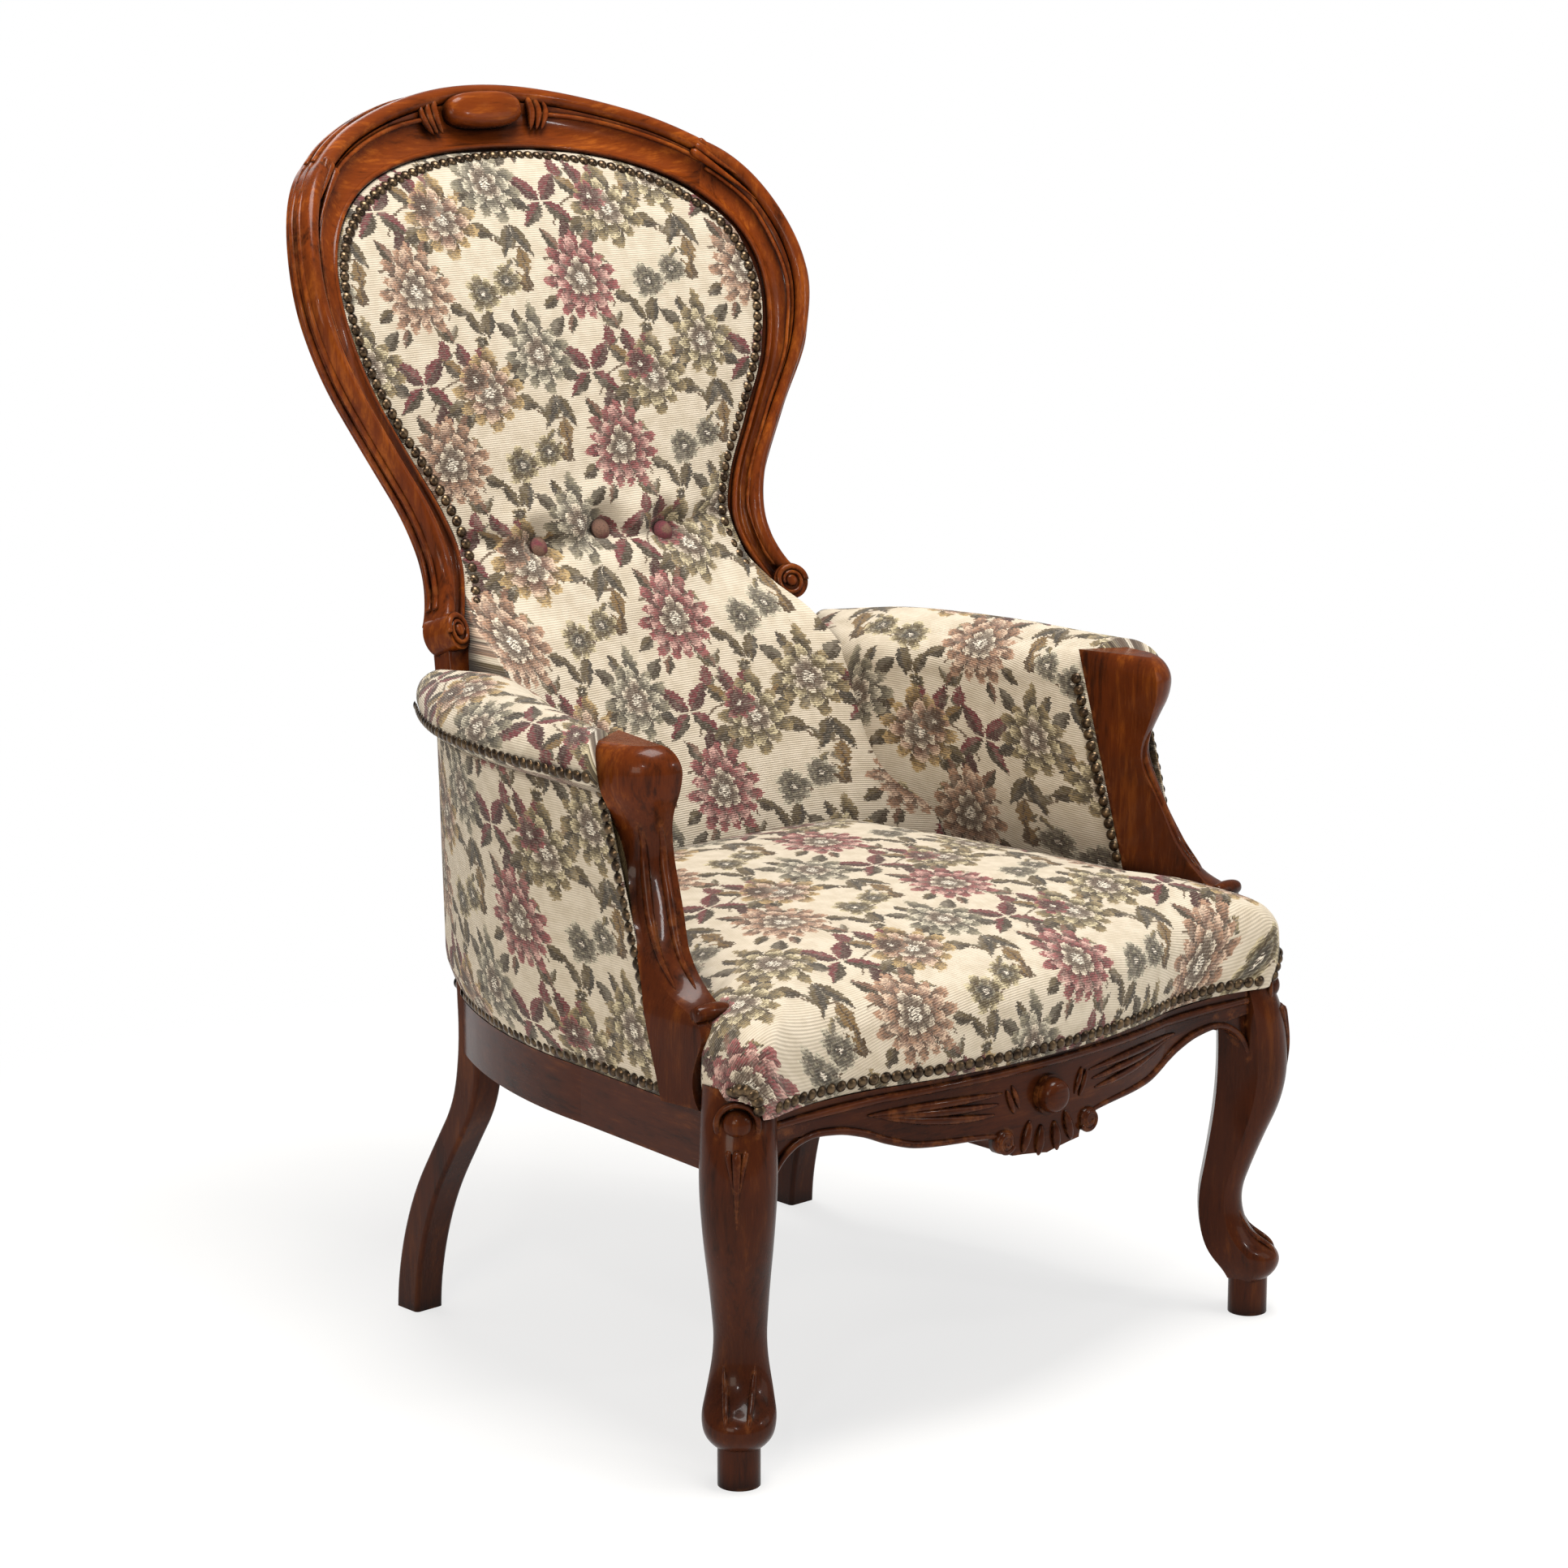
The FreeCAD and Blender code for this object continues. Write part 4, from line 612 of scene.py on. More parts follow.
def arc3(a, m, b, count):
    """Points on the circle through three plan points, without the first."""
    (ax, ay), (mx, my), (bx, by) = a, m, b
    d = 2 * (ax * (my - by) + mx * (by - ay) + bx * (ay - my))
    aa, mm, bb = (x**2 + y**2 for x, y in (a, m, b))
    ux = (aa * (my - by) + mm * (by - ay) + bb * (ay - my)) / d
    uy = (aa * (bx - mx) + mm * (ax - bx) + bb * (mx - ax)) / d
    radius = math.hypot(ax - ux, ay - uy)
    start, middle, end = (math.atan2(y - uy, x - ux) for x, y in (a, m, b))
    span = (end - start) % TURN
    if (middle - start) % TURN > span:
        span -= TURN
    turns = [start + span * k / count for k in range(1, count + 1)]
    return [(ux + radius * math.cos(t), uy + radius * math.sin(t)) for t in turns]


def smooth_along(xs, ys, at):
    """Values between stations on a smooth curve without overshoot."""
    xs, ys, at = (np.asarray(values, float) for values in (xs, ys, at))
    h = np.diff(xs)
    slope = np.diff(ys) / h
    m = np.zeros(len(xs))
    m[0], m[-1] = slope[0], slope[-1]
    for i in range(1, len(xs) - 1):
        if slope[i - 1] * slope[i] > 0:
            w1, w2 = 2 * h[i] + h[i - 1], h[i] + 2 * h[i - 1]
            m[i] = (w1 + w2) / (w1 / slope[i - 1] + w2 / slope[i])
    k = np.clip(np.searchsorted(xs, at) - 1, 0, len(h) - 1)
    t = (at - xs[k]) / h[k]
    a = (1 + 2 * t) * (1 - t) ** 2
    b = t * (1 - t) ** 2
    c = t * t * (3 - 2 * t)
    d = t * t * (t - 1)
    return a * ys[k] + b * h[k] * m[k] + c * ys[k + 1] + d * h[k] * m[k + 1]


def columns_at(table, at):
    """Smooth values of each further column of a table at places along its first column."""
    table = np.asarray(table, float)
    return [smooth_along(table[:, 0], table[:, k], at) for k in range(1, table.shape[1])]


def lengths(points):
    """Length along a line of points, from 0 at the first."""
    steps = np.linalg.norm(np.diff(points, axis=0), axis=1)
    return np.concatenate([[0], np.cumsum(steps)])


def hump(away, width):
    """A soft bump, 1 where away is 0."""
    return np.exp(-((away / width) ** 2))


def ease(place, start, run):
    """0 before start, rising evenly to 1 over the run."""
    return np.clip((place - start) / run, 0, 1)


# Sizes of the solids that the cloth follows, in millimetres

BACK_TOP = 1079.0
BACK_TOP_Y = 362.0
BACK_RADIUS = 575.0
RECLINE = 0.38
SLOPE = math.hypot(1.0, RECLINE)
RAIL_TOP = 306.0
CLOTH_FOOT = 306.3
CLOTH_LOW = 322.0
ARM_LINE = 553.0
SEAT_FRONT = -383.0
SEAT_CENTRE = np.array([0.0, -152.0])
KNEE_BALL = np.array([315.4, -341.4, 303.0])
DIAGONAL = math.sqrt(0.5)


def back_y(x, z):
    """Depth of the bowed and reclined face of the back."""
    bow = BACK_RADIUS - np.sqrt(BACK_RADIUS**2 - np.asarray(x, float) ** 2)
    return BACK_TOP_Y - RECLINE * (BACK_TOP - z) - bow


# Inside back: height, half-width, how far its edge and its middle stand before the frame
BACK_ROWS = [
    (CLOTH_LOW, 226, 90, 54),
    (400, 222, 92, 58),
    (480, 209, 86, 57),
    (556, 195, 66, 53),
    (600, 187, 36, 46),
    (624, 178, 4, 43),
    (650, 166, -6.5, 35),
    (685, 161, -6.5, 27),
    (712, 169, -6.5, 30),
    (768, 199, -6.5, 34),
    (832, 231, -6.5, 36),
    (890, 243, -6.5, 35),
    (934, 235, -6.5, 31),
    (972, 203, -6.5, 24),
    (994, 165, -6.5, 17),
    (1012, 97, -6.5, 8),
    (1017, 48, -6.5, 2),
]
ARCH = 960.0
BARREL_TOP, BARREL_RUN = 620.0, 60.0
FOLD_REACH = 88.0
PILLOW_HEIGHT, PILLOW_HALF = 628.0, 175.0
BUTTONS = [(-73, 677), (0, 686), (73, 677)]
BLOSSOM = (40.0, 904.0)
BLOSSOM_STRETCH = 1.07


def inside_back(material):
    """Crowned inside back, tufted in three places, with pulled folds between the buttons."""
    foot, top = BACK_ROWS[0][0], BACK_ROWS[-1][0]
    z = np.concatenate([np.linspace(foot, ARCH, 130), np.linspace(ARCH + 3, top, 28)])
    half, edge, mid = columns_at(BACK_ROWS, z)
    columns = 97
    share = np.sin(np.linspace(-1, 1, columns) * math.pi / 2)[None]
    x = half[:, None] * share
    zz = np.repeat(z[:, None], columns, axis=1)
    y_edge = (back_y(half, z) - edge)[:, None]
    y_mid = (back_y(0, z) - mid)[:, None]
    barrel = ease(-z, -BARREL_TOP, BARREL_RUN)[:, None]
    cove = 1 - 0.35 * share**2 - 0.65 * share**6
    crown = (1 - share**2) ** 0.86 * (1 - barrel) + cove * barrel
    y = y_edge + (y_mid - y_edge) * crown
    for bx, bz in BUTTONS:
        r = np.hypot(x - bx, zz - bz)
        y += 5.6 * hump(r, 19.0) + 3.4 * hump(r, 40.0) - 7.0 * hump(r - 30, 15.0)
    for (ax, az), (bx, bz) in zip(BUTTONS, BUTTONS[1:]):
        t = ease(x, ax, bx - ax)
        fold = az + (bz - az) * t - 5 * np.sin(t * math.pi)
        y += 7.5 * hump(zz - fold, 6.5) * np.sin(t * math.pi) ** 0.5
    last_x, last_z = BUTTONS[-1]
    for side, _ in SIDES:
        t = ease(side * x, last_x, FOLD_REACH)
        y += 6.5 * hump(zz - last_z - 10 * t, 8.0) * np.sin(t * math.pi) ** 0.6
    y -= 5.0 * hump(zz - PILLOW_HEIGHT, 34.0) * np.clip(1 - (x / PILLOW_HALF) ** 2, 0, 1)
    front = np.stack([x, y, zz], axis=2)
    rear = np.stack([x, np.maximum(back_y(x, zz) + 9, y + 3), zz], axis=2)
    step = np.hypot(np.diff(x, axis=1), np.diff(y, axis=1))
    run = np.concatenate([np.zeros((len(z), 1)), np.cumsum(step, axis=1)], axis=1)
    run -= run[:, columns // 2, None]
    uvs = np.stack([run - BLOSSOM[0], (zz - BLOSSOM[1]) * BLOSSOM_STRETCH], axis=2) * MM
    obj = shell("inside_back", front, rear, uvs, material)
    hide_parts("back_cover", "back_stuffing")


# Seat from its edge to its middle: scale of the plan, height at the front and at the rear
SEAT_ROWS = [
    (0.985, 1, 1),
    (1.003, 26, 26),
    (1.0, 50, 54),
    (0.97, 68, 86),
    (0.89, 80, 105),
    (0.76, 90, 118),
    (0.56, 99, 127),
    (0.25, 104, 131),
    (0.02, 105, 132),
]
SEAT_DEPTH = 462.0
SEAT_REAR_HALF = 190.0
SEAT_FLOOR = 309.0
SEAT_PATTERN = np.array([-45.0, 215.0])


def seat_outline():
    """Plan of the seat at its widest, from the front's middle round by the right."""
    rear_corner = (SEAT_REAR_HALF, SEAT_DEPTH)
    rear_middle = (0.0, SEAT_DEPTH + 10)
    half = [(0.0, 0.0)]
    half += [p for p in arc3((-170, 25), (0, 0), (170, 25), 48) if p[0] > 0.5]
    half += arc3((170, 25), (243, 31), (295, 21), 24)
    half += arc3((295, 21), (316, 28), (322, 48), 14)
    half += straight((322, 48), (321, 77), 8)
    half += straight((321, 77), (303, 100), 8)
    half += straight((303, 100), (288, 165), 16)
    half += arc3((288, 165), (244, 320), rear_corner, 40)
    half += [p for p in arc3(rear_corner, rear_middle, (-SEAT_REAR_HALF, SEAT_DEPTH), 48) if p[0] > 0.5]
    half.append(rear_middle)
    half = np.array(half) + (0, SEAT_FRONT)
    left = half[1:-1][::-1] * (-1, 1)
    return np.concatenate([half, left])


def clear_of_ball(grid, side):
    """Push the seat's corner back from the ball of the knee."""
    away = np.array([side * DIAGONAL, -DIAGONAL, 0.0])
    offset = grid - KNEE_BALL * (side, 1, 1)
    along = offset @ away
    around = np.linalg.norm(offset - along[..., None] * away, axis=2)
    push = ease(-around, -20.5, 3.5)
    push = push * push * (3 - 2 * push) * np.clip(along + 12, 0, None)
    return grid - push[..., None] * away


def seat_body(material):
    """Stuffed-over seat with a rolled front edge, fitted round the balls of the knees."""
    outline = seat_outline()
    place = np.arange(len(SEAT_ROWS), dtype=float)
    t = np.concatenate([np.linspace(0, 1, 16)[:-1], np.linspace(1, place[-1], 57)])
    rows = []
    for scale, front, rear in zip(*(smooth_along(place, column, t) for column in zip(*SEAT_ROWS))):
        flat = SEAT_CENTRE + (outline - SEAT_CENTRE) * scale
        z = RAIL_TOP + front + (rear - front) / SEAT_DEPTH * (flat[:, 1] - SEAT_FRONT)
        rows.append(np.column_stack([flat, z]))
    grid = np.array(rows)
    for side in (1, -1):
        grid = clear_of_ball(grid, side)
    dip = hump(grid[..., 0], 150.0) * hump(grid[..., 1] + 190, 140.0)
    grid[..., 2] -= 2.0 * dip * (t[:, None] > 3.5)
    steps = np.linalg.norm(np.diff(grid, axis=0), axis=2)
    length = np.concatenate([np.cumsum(steps[::-1], axis=0)[::-1], np.zeros((1, len(outline)))])
    towards = outline - SEAT_CENTRE
    towards = towards / np.linalg.norm(towards, axis=1)[:, None]
    middle = SEAT_CENTRE + SEAT_PATTERN
    uvs = towards[None] * (length + 5)[..., None] + middle
    uvs = np.concatenate([*uvs, [(0, 0), middle]]) * MM
    caps = [(*SEAT_CENTRE, SEAT_FLOOR), (*SEAT_CENTRE, grid[-1, 0, 2] + 0.2)]
    obj = tube("seat", grid, caps, material, uvs)
    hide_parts("seat_cover", "seat_stuffing")


class SideCurve:
    """A straight run from the front, then an arc bowed outwards to the rear."""

    def __init__(self, front, bend, rear, bow):
        self.front, self.bend, self.rear = (np.array(p, float) for p in (front, bend, rear))
        chord = self.rear - self.bend
        half = np.linalg.norm(chord) / 2
        self.radius = (half**2 + bow**2) / (2 * bow)
        outward = np.array([chord[1], -chord[0]]) / (2 * half)
        self.centre = (self.bend + self.rear) / 2 + outward * (bow - self.radius)

    def on_bow(self, share, inset=0.0):
        """Point at a share of the arc from the bend to the rear."""
        a, b = self.bend - self.centre, self.rear - self.centre
        start, end = math.atan2(a[1], a[0]), math.atan2(b[1], b[0])
        turn = start + (end - start) * share
        return self.centre + (self.radius - inset) * np.array([math.cos(turn), math.sin(turn)])

    def line(self, inset, count):
        """Points from the front to the rear at an even pitch in each run."""
        ahead = self.bend - self.front
        start = self.front + np.array([-ahead[1], ahead[0]]) / np.linalg.norm(ahead) * inset
        bend = self.on_bow(0.0, inset)
        run = [start + (bend - start) * k / count for k in range(count)]
        bow = [self.on_bow(k / (2 * count), inset) for k in range(2 * count + 1)]
        return np.array(run + bow)


SIDE = SideCurve((322, -325), (307, -140), (232, 115), 17.0)
ARM = SideCurve((334, -194), (331, -80), (250, 134), 18.0)
POST_LEAN = 0.30
ARM_INNER_FRONT = np.array([272.0, -159.9])
ARM_INNER_REAR = np.array([SEAT_REAR_HALF, 49.0])
ARM_PATTERN = np.array([60.0, 30.0])
ARM_SEEN = 60
ROLL_CROWN, ROLL_SHOULDER = 577.0, 584.0
OUTER_ARM_TOP = 550.0
OUTER_ARM_START = (130.0, 300.0)
OUTER_ARM_PATTERN = np.array([20.0, 40.0])


def arm_section(width):
    """Section of the arm from the nail line over the roll and down inside, then back under."""
    crown = ROLL_CROWN + 0.22 * width
    roll = (2, ARM_LINE + 30)
    shoulder = (width - 20, ROLL_SHOULDER)
    inside = (width, ARM_LINE - 1)
    line = [(0.0, ARM_LINE)]
    line += arc3((0, ARM_LINE), (-5, ARM_LINE + 14), roll, 10)
    line += arc3(roll, (width * 0.42, crown), shoulder, 22)
    line += arc3(shoulder, (width - 5, ARM_LINE + 20), inside, 14)
    line += arc3(inside, (width + 3, 480), (width, 400), 26)
    line += straight((width, 400), (width - 2, CLOTH_LOW), 14)
    line += [(width - 26, CLOTH_LOW + 1), (width - 28, 470), (width - 28, 540), (18, 543)]
    return np.array(line)


def arm_body(side, word, material):
    """Padded arm: a roll with its inner face, from the post back to the upright."""
    inner_run = ARM_INNER_REAR - ARM_INNER_FRONT
    swell_in = np.array([3.0, 0.0])
    stations = [
        (ARM.front, ARM_INNER_FRONT, POST_LEAN),
        (ARM.bend, ARM_INNER_FRONT + inner_run * 0.36 + swell_in, 0.0),
        (ARM.on_bow(0.40), ARM_INNER_FRONT + inner_run * 0.68 + swell_in, 0.0),
        (ARM.on_bow(0.74), ARM_INNER_REAR, 0.0),
        (ARM.rear, (192, 126), 0.20),
    ]
    table = [(k, *p, *q, lean) for k, (p, q, lean) in enumerate(stations)]
    lines = np.column_stack(columns_at(table, np.linspace(0, len(stations) - 1, 73)))
    outer, inner, leans = lines[:, :2], lines[:, 2:4], lines[:, 4]
    rows, uvs = [], []
    for p, q, lean, u in zip(outer, inner, leans, lengths((outer + inner) / 2)):
        width = np.linalg.norm(q - p)
        section = arm_section(width)
        flat = p + (q - p) / width * section[:, :1]
        z = section[:, 1]
        rows.append(np.column_stack([flat[:, 0], flat[:, 1] - lean * (ARM_LINE - z) + 0.3, z]))
        uvs.append(np.column_stack([np.full(len(section), u), 250 - lengths(section)]))
    grid = np.array(rows) * (side, 1, 1)
    uvs = (np.array(uvs) * (side, 1) + ARM_PATTERN) * MM
    caps = [grid[row, :ARM_SEEN].mean(axis=0) + (0, bulge, 0) for row, bulge in ((0, -3.0), (-1, 3.0))]
    uvs = np.concatenate([*uvs, uvs[[0, -1], :ARM_SEEN].mean(axis=1)])
    obj = tube(f"arm_{word}", grid, caps, material, uvs, flip=side > 0)
    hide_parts(f"arm_cover_{word}", f"arm_pad_{word}")


# Outside back: drop from the top, half-width
OUTSIDE_BACK = [(34, 92), (58, 176), (112, 240), (182, 262), (240, 250), (305, 214), (368, 188), (430, 190)]
BEHIND = 26.9
BACK_RAIL_Y = 159.3
BACK_RAIL_HALF = 242.0
BACK_RAIL_BOW = 47.0
BOW_EASE = 14.0


def rear_levels():
    """Height, half-width, edge and middle depth of the cloth behind the frame, from the rail up."""
    rows = []
    for drop, half in OUTSIDE_BACK:
        z = BACK_TOP - drop
        thick = BEHIND * math.sqrt(SLOPE**2 + half**2 / (BACK_RADIUS**2 - half**2))
        rows.append((z, half, back_y(half, z) + thick, back_y(0, z) + BEHIND * SLOPE))
    low_z, low_half, _, low_y = rows[-1]
    for share in (0.15, 0.35, 0.7, 1.0):
        z = low_z + (CLOTH_FOOT - low_z) * share
        half = low_half + (BACK_RAIL_HALF - low_half) * share
        middle = low_y + (BACK_RAIL_Y - low_y) * share
        rows.append((z, half, middle - BACK_RAIL_BOW + BOW_EASE * (1 - share), middle))
    return np.array(rows, float)[::-1]


REAR = rear_levels()


def outside_back(material):
    """Cloth stretched over the back of the frame, down to the back rail."""
    z = np.linspace(REAR[0, 0], REAR[-1, 0], 110)[:, None]
    half, edge, middle = columns_at(REAR, z)
    columns = 61
    share = np.sin(np.linspace(1, -1, columns) * math.pi / 2)[None]
    x = (half - 10 * ease(-z, -650, 130)) * share
    y = middle + (edge - middle) * (x / half) ** 2
    zz = np.repeat(z, columns, axis=1)
    outer = np.stack([x, y + 3.2 - 1.6 * share**6, zz], axis=2)
    uvs = np.stack([-x - BLOSSOM[0], zz - BLOSSOM[1]], axis=2) * MM
    obj = shell("outside_back", outer, np.stack([x, y + 0.2, zz], axis=2), uvs, material)
    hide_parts("outside_back_panel")


RUN = 16
WRAP = 12
LAP = 20.0


def outer_arm_row(share, z):
    """Plan of the outer arm at a height: from the post along the side, then round to the back."""
    low, top = SIDE.line(0.7, RUN), ARM.line(14, RUN)
    row = low + (top - low) * share
    post = ARM.front[1] - POST_LEAN * (ARM_LINE - z) + 0.55 * (ARM.front[0] - row[:2, 0]) + 0.6
    before, bend = row[0, 1] - post[0], row[RUN].copy()
    first = row[0] + (bend - row[0]) * (before / (before - (bend[1] - post[1])))
    for k in range(RUN):
        row[k] = first + (bend - first) * k / RUN
    ahead = np.gradient(row, axis=0)
    ahead /= np.linalg.norm(ahead, axis=1)[:, None]
    push = (10.5 - 7.0 * share) * ease(z, 310, 30) * ease(np.arange(len(row)), RUN / 2, RUN / 2) ** 2
    row = row + push[:, None] * np.column_stack([ahead[:, 1], -ahead[:, 0]])
    half, edge, middle = (float(v[0]) for v in columns_at(REAR, [z]))
    goal = np.array([half - LAP, middle + (edge - middle) * (1 - LAP / half) ** 2 + 4.4])
    turn = np.linspace(0, 1, WRAP + 1)[1:, None]
    bulge = row[-1] + ahead[-1] * 10
    wrap = row[-1] * (1 - turn) ** 2 + 2 * bulge * turn * (1 - turn) + goal * turn**2
    return np.concatenate([row, wrap])


def outer_arm(side, word, material):
    """Stretched cloth outside the arm, from the rail up to the roll and round to the back."""
    shares = np.linspace(0, 1, 25)
    rows, uvs = [], []
    for share in shares:
        z = CLOTH_FOOT + (OUTER_ARM_TOP - CLOTH_FOOT) * share
        row = outer_arm_row(share, z)
        rows.append(np.column_stack([row, np.full(len(row), z)]))
        uvs.append(np.column_stack([lengths(row), np.full(len(row), z)]) - OUTER_ARM_START)
    grid = np.array(rows)
    columns = grid.shape[1]
    reach = np.clip(np.arange(columns) / (columns - WRAP - 1.0), 0, 1)
    grid[..., 0] += 1.6 * np.sin(shares * math.pi)[:, None] * np.sin(reach * math.pi)[None]
    ahead = np.gradient(grid, axis=1)
    inward = np.stack([-ahead[..., 1], ahead[..., 0], np.zeros(ahead.shape[:2])], axis=2)
    rear = grid + 2.0 * inward / np.linalg.norm(inward, axis=2)[..., None]
    grid, rear = grid * (side, 1, 1), rear * (side, 1, 1)
    flat = np.array(uvs) * (side, 1)
    if side < 0:
        grid, rear, flat = grid[:, ::-1], rear[:, ::-1], flat[:, ::-1]
    obj = shell(f"outer_arm_{word}", grid, rear, (flat + OUTER_ARM_PATTERN) * MM, material)
    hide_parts(f"outside_arm_panel_{word}")


# Carving


def sweep(name, path, radii, material, closed=False, sides=12):
    """Rounded moulding along a path in millimetres, with a radius at each point."""
    path = np.asarray(path, float)
    radii = np.broadcast_to(np.asarray(radii, float), (len(path),))
    if closed:
        ahead = np.roll(path, -1, axis=0) - np.roll(path, 1, axis=0)
    else:
        ahead = np.gradient(path, axis=0)
    ahead /= np.linalg.norm(ahead, axis=1)[:, None]
    side = np.cross(ahead[0], [0.31, 0.17, 0.94])
    turn = np.arange(sides)[:, None] * TURN / sides
    rows = []
    for point, run, radius in zip(path, ahead, radii):
        side = side - run * (side @ run)
        side /= np.linalg.norm(side)
        rows.append(point + radius * (np.cos(turn) * side + np.sin(turn) * np.cross(run, side)))
    if not closed:
        tube(name, rows, path[[0, -1]], material)
        return
    faces = grid_faces(len(path), sides, ring=True)
    last = (len(path) - 1) * sides
    shift = int(np.argmin(np.linalg.norm(rows[0] - rows[-1][0], axis=1)))
    for j in range(sides):
        k = (j + 1) % sides
        faces.append((last + j, last + k, (k + shift) % sides, (j + shift) % sides))
    make_mesh(name, np.concatenate(rows), faces, material)


def swell(count, thick, thin=0.3):
    """Radii that start thin, swell in the middle and end thin."""
    t = np.linspace(0, 1, count)
    return thin + (thick - thin) * np.sin(t * math.pi) ** 0.7


def taper(count, thick, thin=0.4):
    """Radii that are thick near the start and run out thin."""
    t = np.linspace(0, 1, count)
    return np.maximum(thin, thick * (1 - t) ** 0.8 * np.minimum(1, t * 12 + 0.35))


# Boss from its edge to its crown: scale and share of the rise
BOSS_ROWS = [(1.0, 0.0), (0.985, 0.28), (0.94, 0.55), (0.86, 0.77), (0.72, 0.92), (0.5, 0.98), (0.25, 1.0)]
BOSS_SKIRT = -6.0


def boss(name, centre, along, up, half_length, half_height, rise, power, material):
    """Carved oval boss with a rounded edge and a flattened crown, on a short skirt."""
    centre, along, up = (np.asarray(p, float) for p in (centre, along, up))
    out = np.cross(along, up)
    count = 48
    turn = np.arange(count)[:, None] * TURN / count
    x, y = (np.sign(f) * np.abs(f) ** (2 / power) for f in (np.cos(turn), np.sin(turn)))
    rows = []
    for scale, lift in [(1.0, BOSS_SKIRT)] + [(s, h * rise) for s, h in BOSS_ROWS]:
        rows.append(centre + scale * (x * half_length * along + y * half_height * up) + lift * out)
    points = np.concatenate(rows + [[centre + out * rise]])
    faces = grid_faces(len(rows), count, ring=True)
    faces += fan(len(points) - 1 - count, count, len(points) - 1)
    faces.append(tuple(range(count - 1, -1, -1)))
    make_mesh(name, points, faces, material)


# Back frame from the crest to the volute: inner x and drop, outer x and drop
FRAME_STATIONS = [
    (0, 58, 0, 0),
    (100, 65, 99, 11),
    (168, 83, 174, 32),
    (206, 105, 224, 57),
    (237, 144, 270, 108),
    (244, 189, 285, 174),
    (232, 247, 271, 234),
    (200, 311, 235, 300),
    (170, 367, 201, 365),
    (162, 394, 194, 394),
    (167, 429, 198, 427),
    (182, 461, 211, 449),
]
CARTOUCHE_DROP = 24
VOLUTE_X, VOLUTE_DROP = 199, 460
FRAME_SIDE = 0.985


def back_normal(x):
    """Direction straight out of the face of the back."""
    n = np.array([-x / math.sqrt(BACK_RADIUS**2 - x * x), -1.0, RECLINE])
    return n / np.linalg.norm(n)


def on_back(x, drop, lift):
    """Point on the face of the back, a drop below its top, lifted off the face."""
    z = BACK_TOP - drop
    return np.array([x, float(back_y(x, z)), z]) + back_normal(x) * lift


def frame_line(start, end, share, lift, side, count=40):
    """Path on the frame between two stations, at a share of its width from inner to outer edge."""
    at = np.linspace(start, end, count)
    place = np.arange(len(FRAME_STATIONS), dtype=float)
    four = np.column_stack([smooth_along(place, column, at) for column in zip(*FRAME_STATIONS)])
    if start == 0:
        four[0, 0] = four[0, 2] = 0.0
    path = []
    for (ix, inner, ox, outer), s in zip(four, np.broadcast_to(share, at.shape)):
        path.append(on_back(side * (ix + (ox - ix) * s), inner + (outer - inner) * s, lift))
    return np.array(path)


def volute(side, word):
    """Spiral end of a back stile, with its eye."""
    centre = on_back(side * VOLUTE_X, VOLUTE_DROP, 2)
    out = back_normal(side * VOLUTE_X)
    right = np.cross([0, 0, 1], out)
    right /= np.linalg.norm(right)
    high = np.cross(out, right)
    turn = np.linspace(0, TURN * 1.55, 70)[:, None]
    radius = 14.8 - 8.0 * turn / turn[-1]
    path = centre + radius * (np.cos(turn) * right * side + np.sin(turn) * high) + out * 0.6
    sweep(f"volute_scroll_{word}", path, np.linspace(2.9, 1.7, 70), wood_up)
    boss(f"volute_eye_{word}", centre, right, high, 5.6, 5.6, 3.6, 2.0, wood_up)


def back_carving():
    """Cartouche, shoulder leaves, beads and volutes on the back frame."""
    along = np.array([1.0, 0, 0])
    up = np.cross(back_normal(0), along)
    boss("cartouche", on_back(0, CARTOUCHE_DROP, -2), along, up, 44, 17, 13, 2.7, wood_across)
    for side, word in SIDES:
        for k in range(3):
            reach = 19 - 3 * k
            path = []
            for d in np.linspace(2 * k - reach, 3 * k + reach, 15):
                x = side * (49 + 8 * k + 7 * math.cos(d / reach * 1.3))
                path.append(on_back(x, CARTOUCHE_DROP + d, -3.2))
            sweep(f"cartouche_curl_{word}_{k}", path, swell(15, 4.2 - 0.5 * k), wood_across)
        sweep(f"crest_bead_{word}", frame_line(0.55, 2.95, 0.60, -4.6, side), 2.2, wood_across)
        sweep(f"stile_bead_{word}", frame_line(3.05, 10.6, 0.52, -5.0, side, 90), 2.0, wood_up)
        for k, lift in enumerate((-13.0, -20.5)):
            path = frame_line(0, 2.98, FRAME_SIDE, lift, side, 50)
            sweep(f"crest_side_bead_{word}_{k}", path, 2.7, wood_across)
            path = frame_line(3.02, 10.5, FRAME_SIDE, lift, side, 90)
            sweep(f"stile_side_bead_{word}_{k}", path, 2.7, wood_up)
        bend = 0.05 * np.sin(np.linspace(0, 1, 24) * math.pi)
        for k, share in enumerate((0.66, 0.80, 0.93)):
            path = frame_line(2.75 + 0.06 * k, 3.85 - 0.18 * k, share - bend, -1.6, side, 24)
            sweep(f"shoulder_leaf_{word}_{k}", path, taper(24, 4.6 - 0.5 * k), wood_up)
        volute(side, word)


RAIL_MIDDLE_Y = -377.0
RAIL_CURVE_X = 170.0
RAIL_CURVE_Y = -354.0
LIP_HALF, LIP_HEIGHT = 284.0, 298.5
BOSS_HEIGHT = 273.0
REED_X, REED_HEIGHT = 52, 283
KNOB_X, KNOB_HEIGHT = 50, 241
NOTCH_X, NOTCH_HEIGHT = 33, 266
SCROLL_RADIUS = 9.6
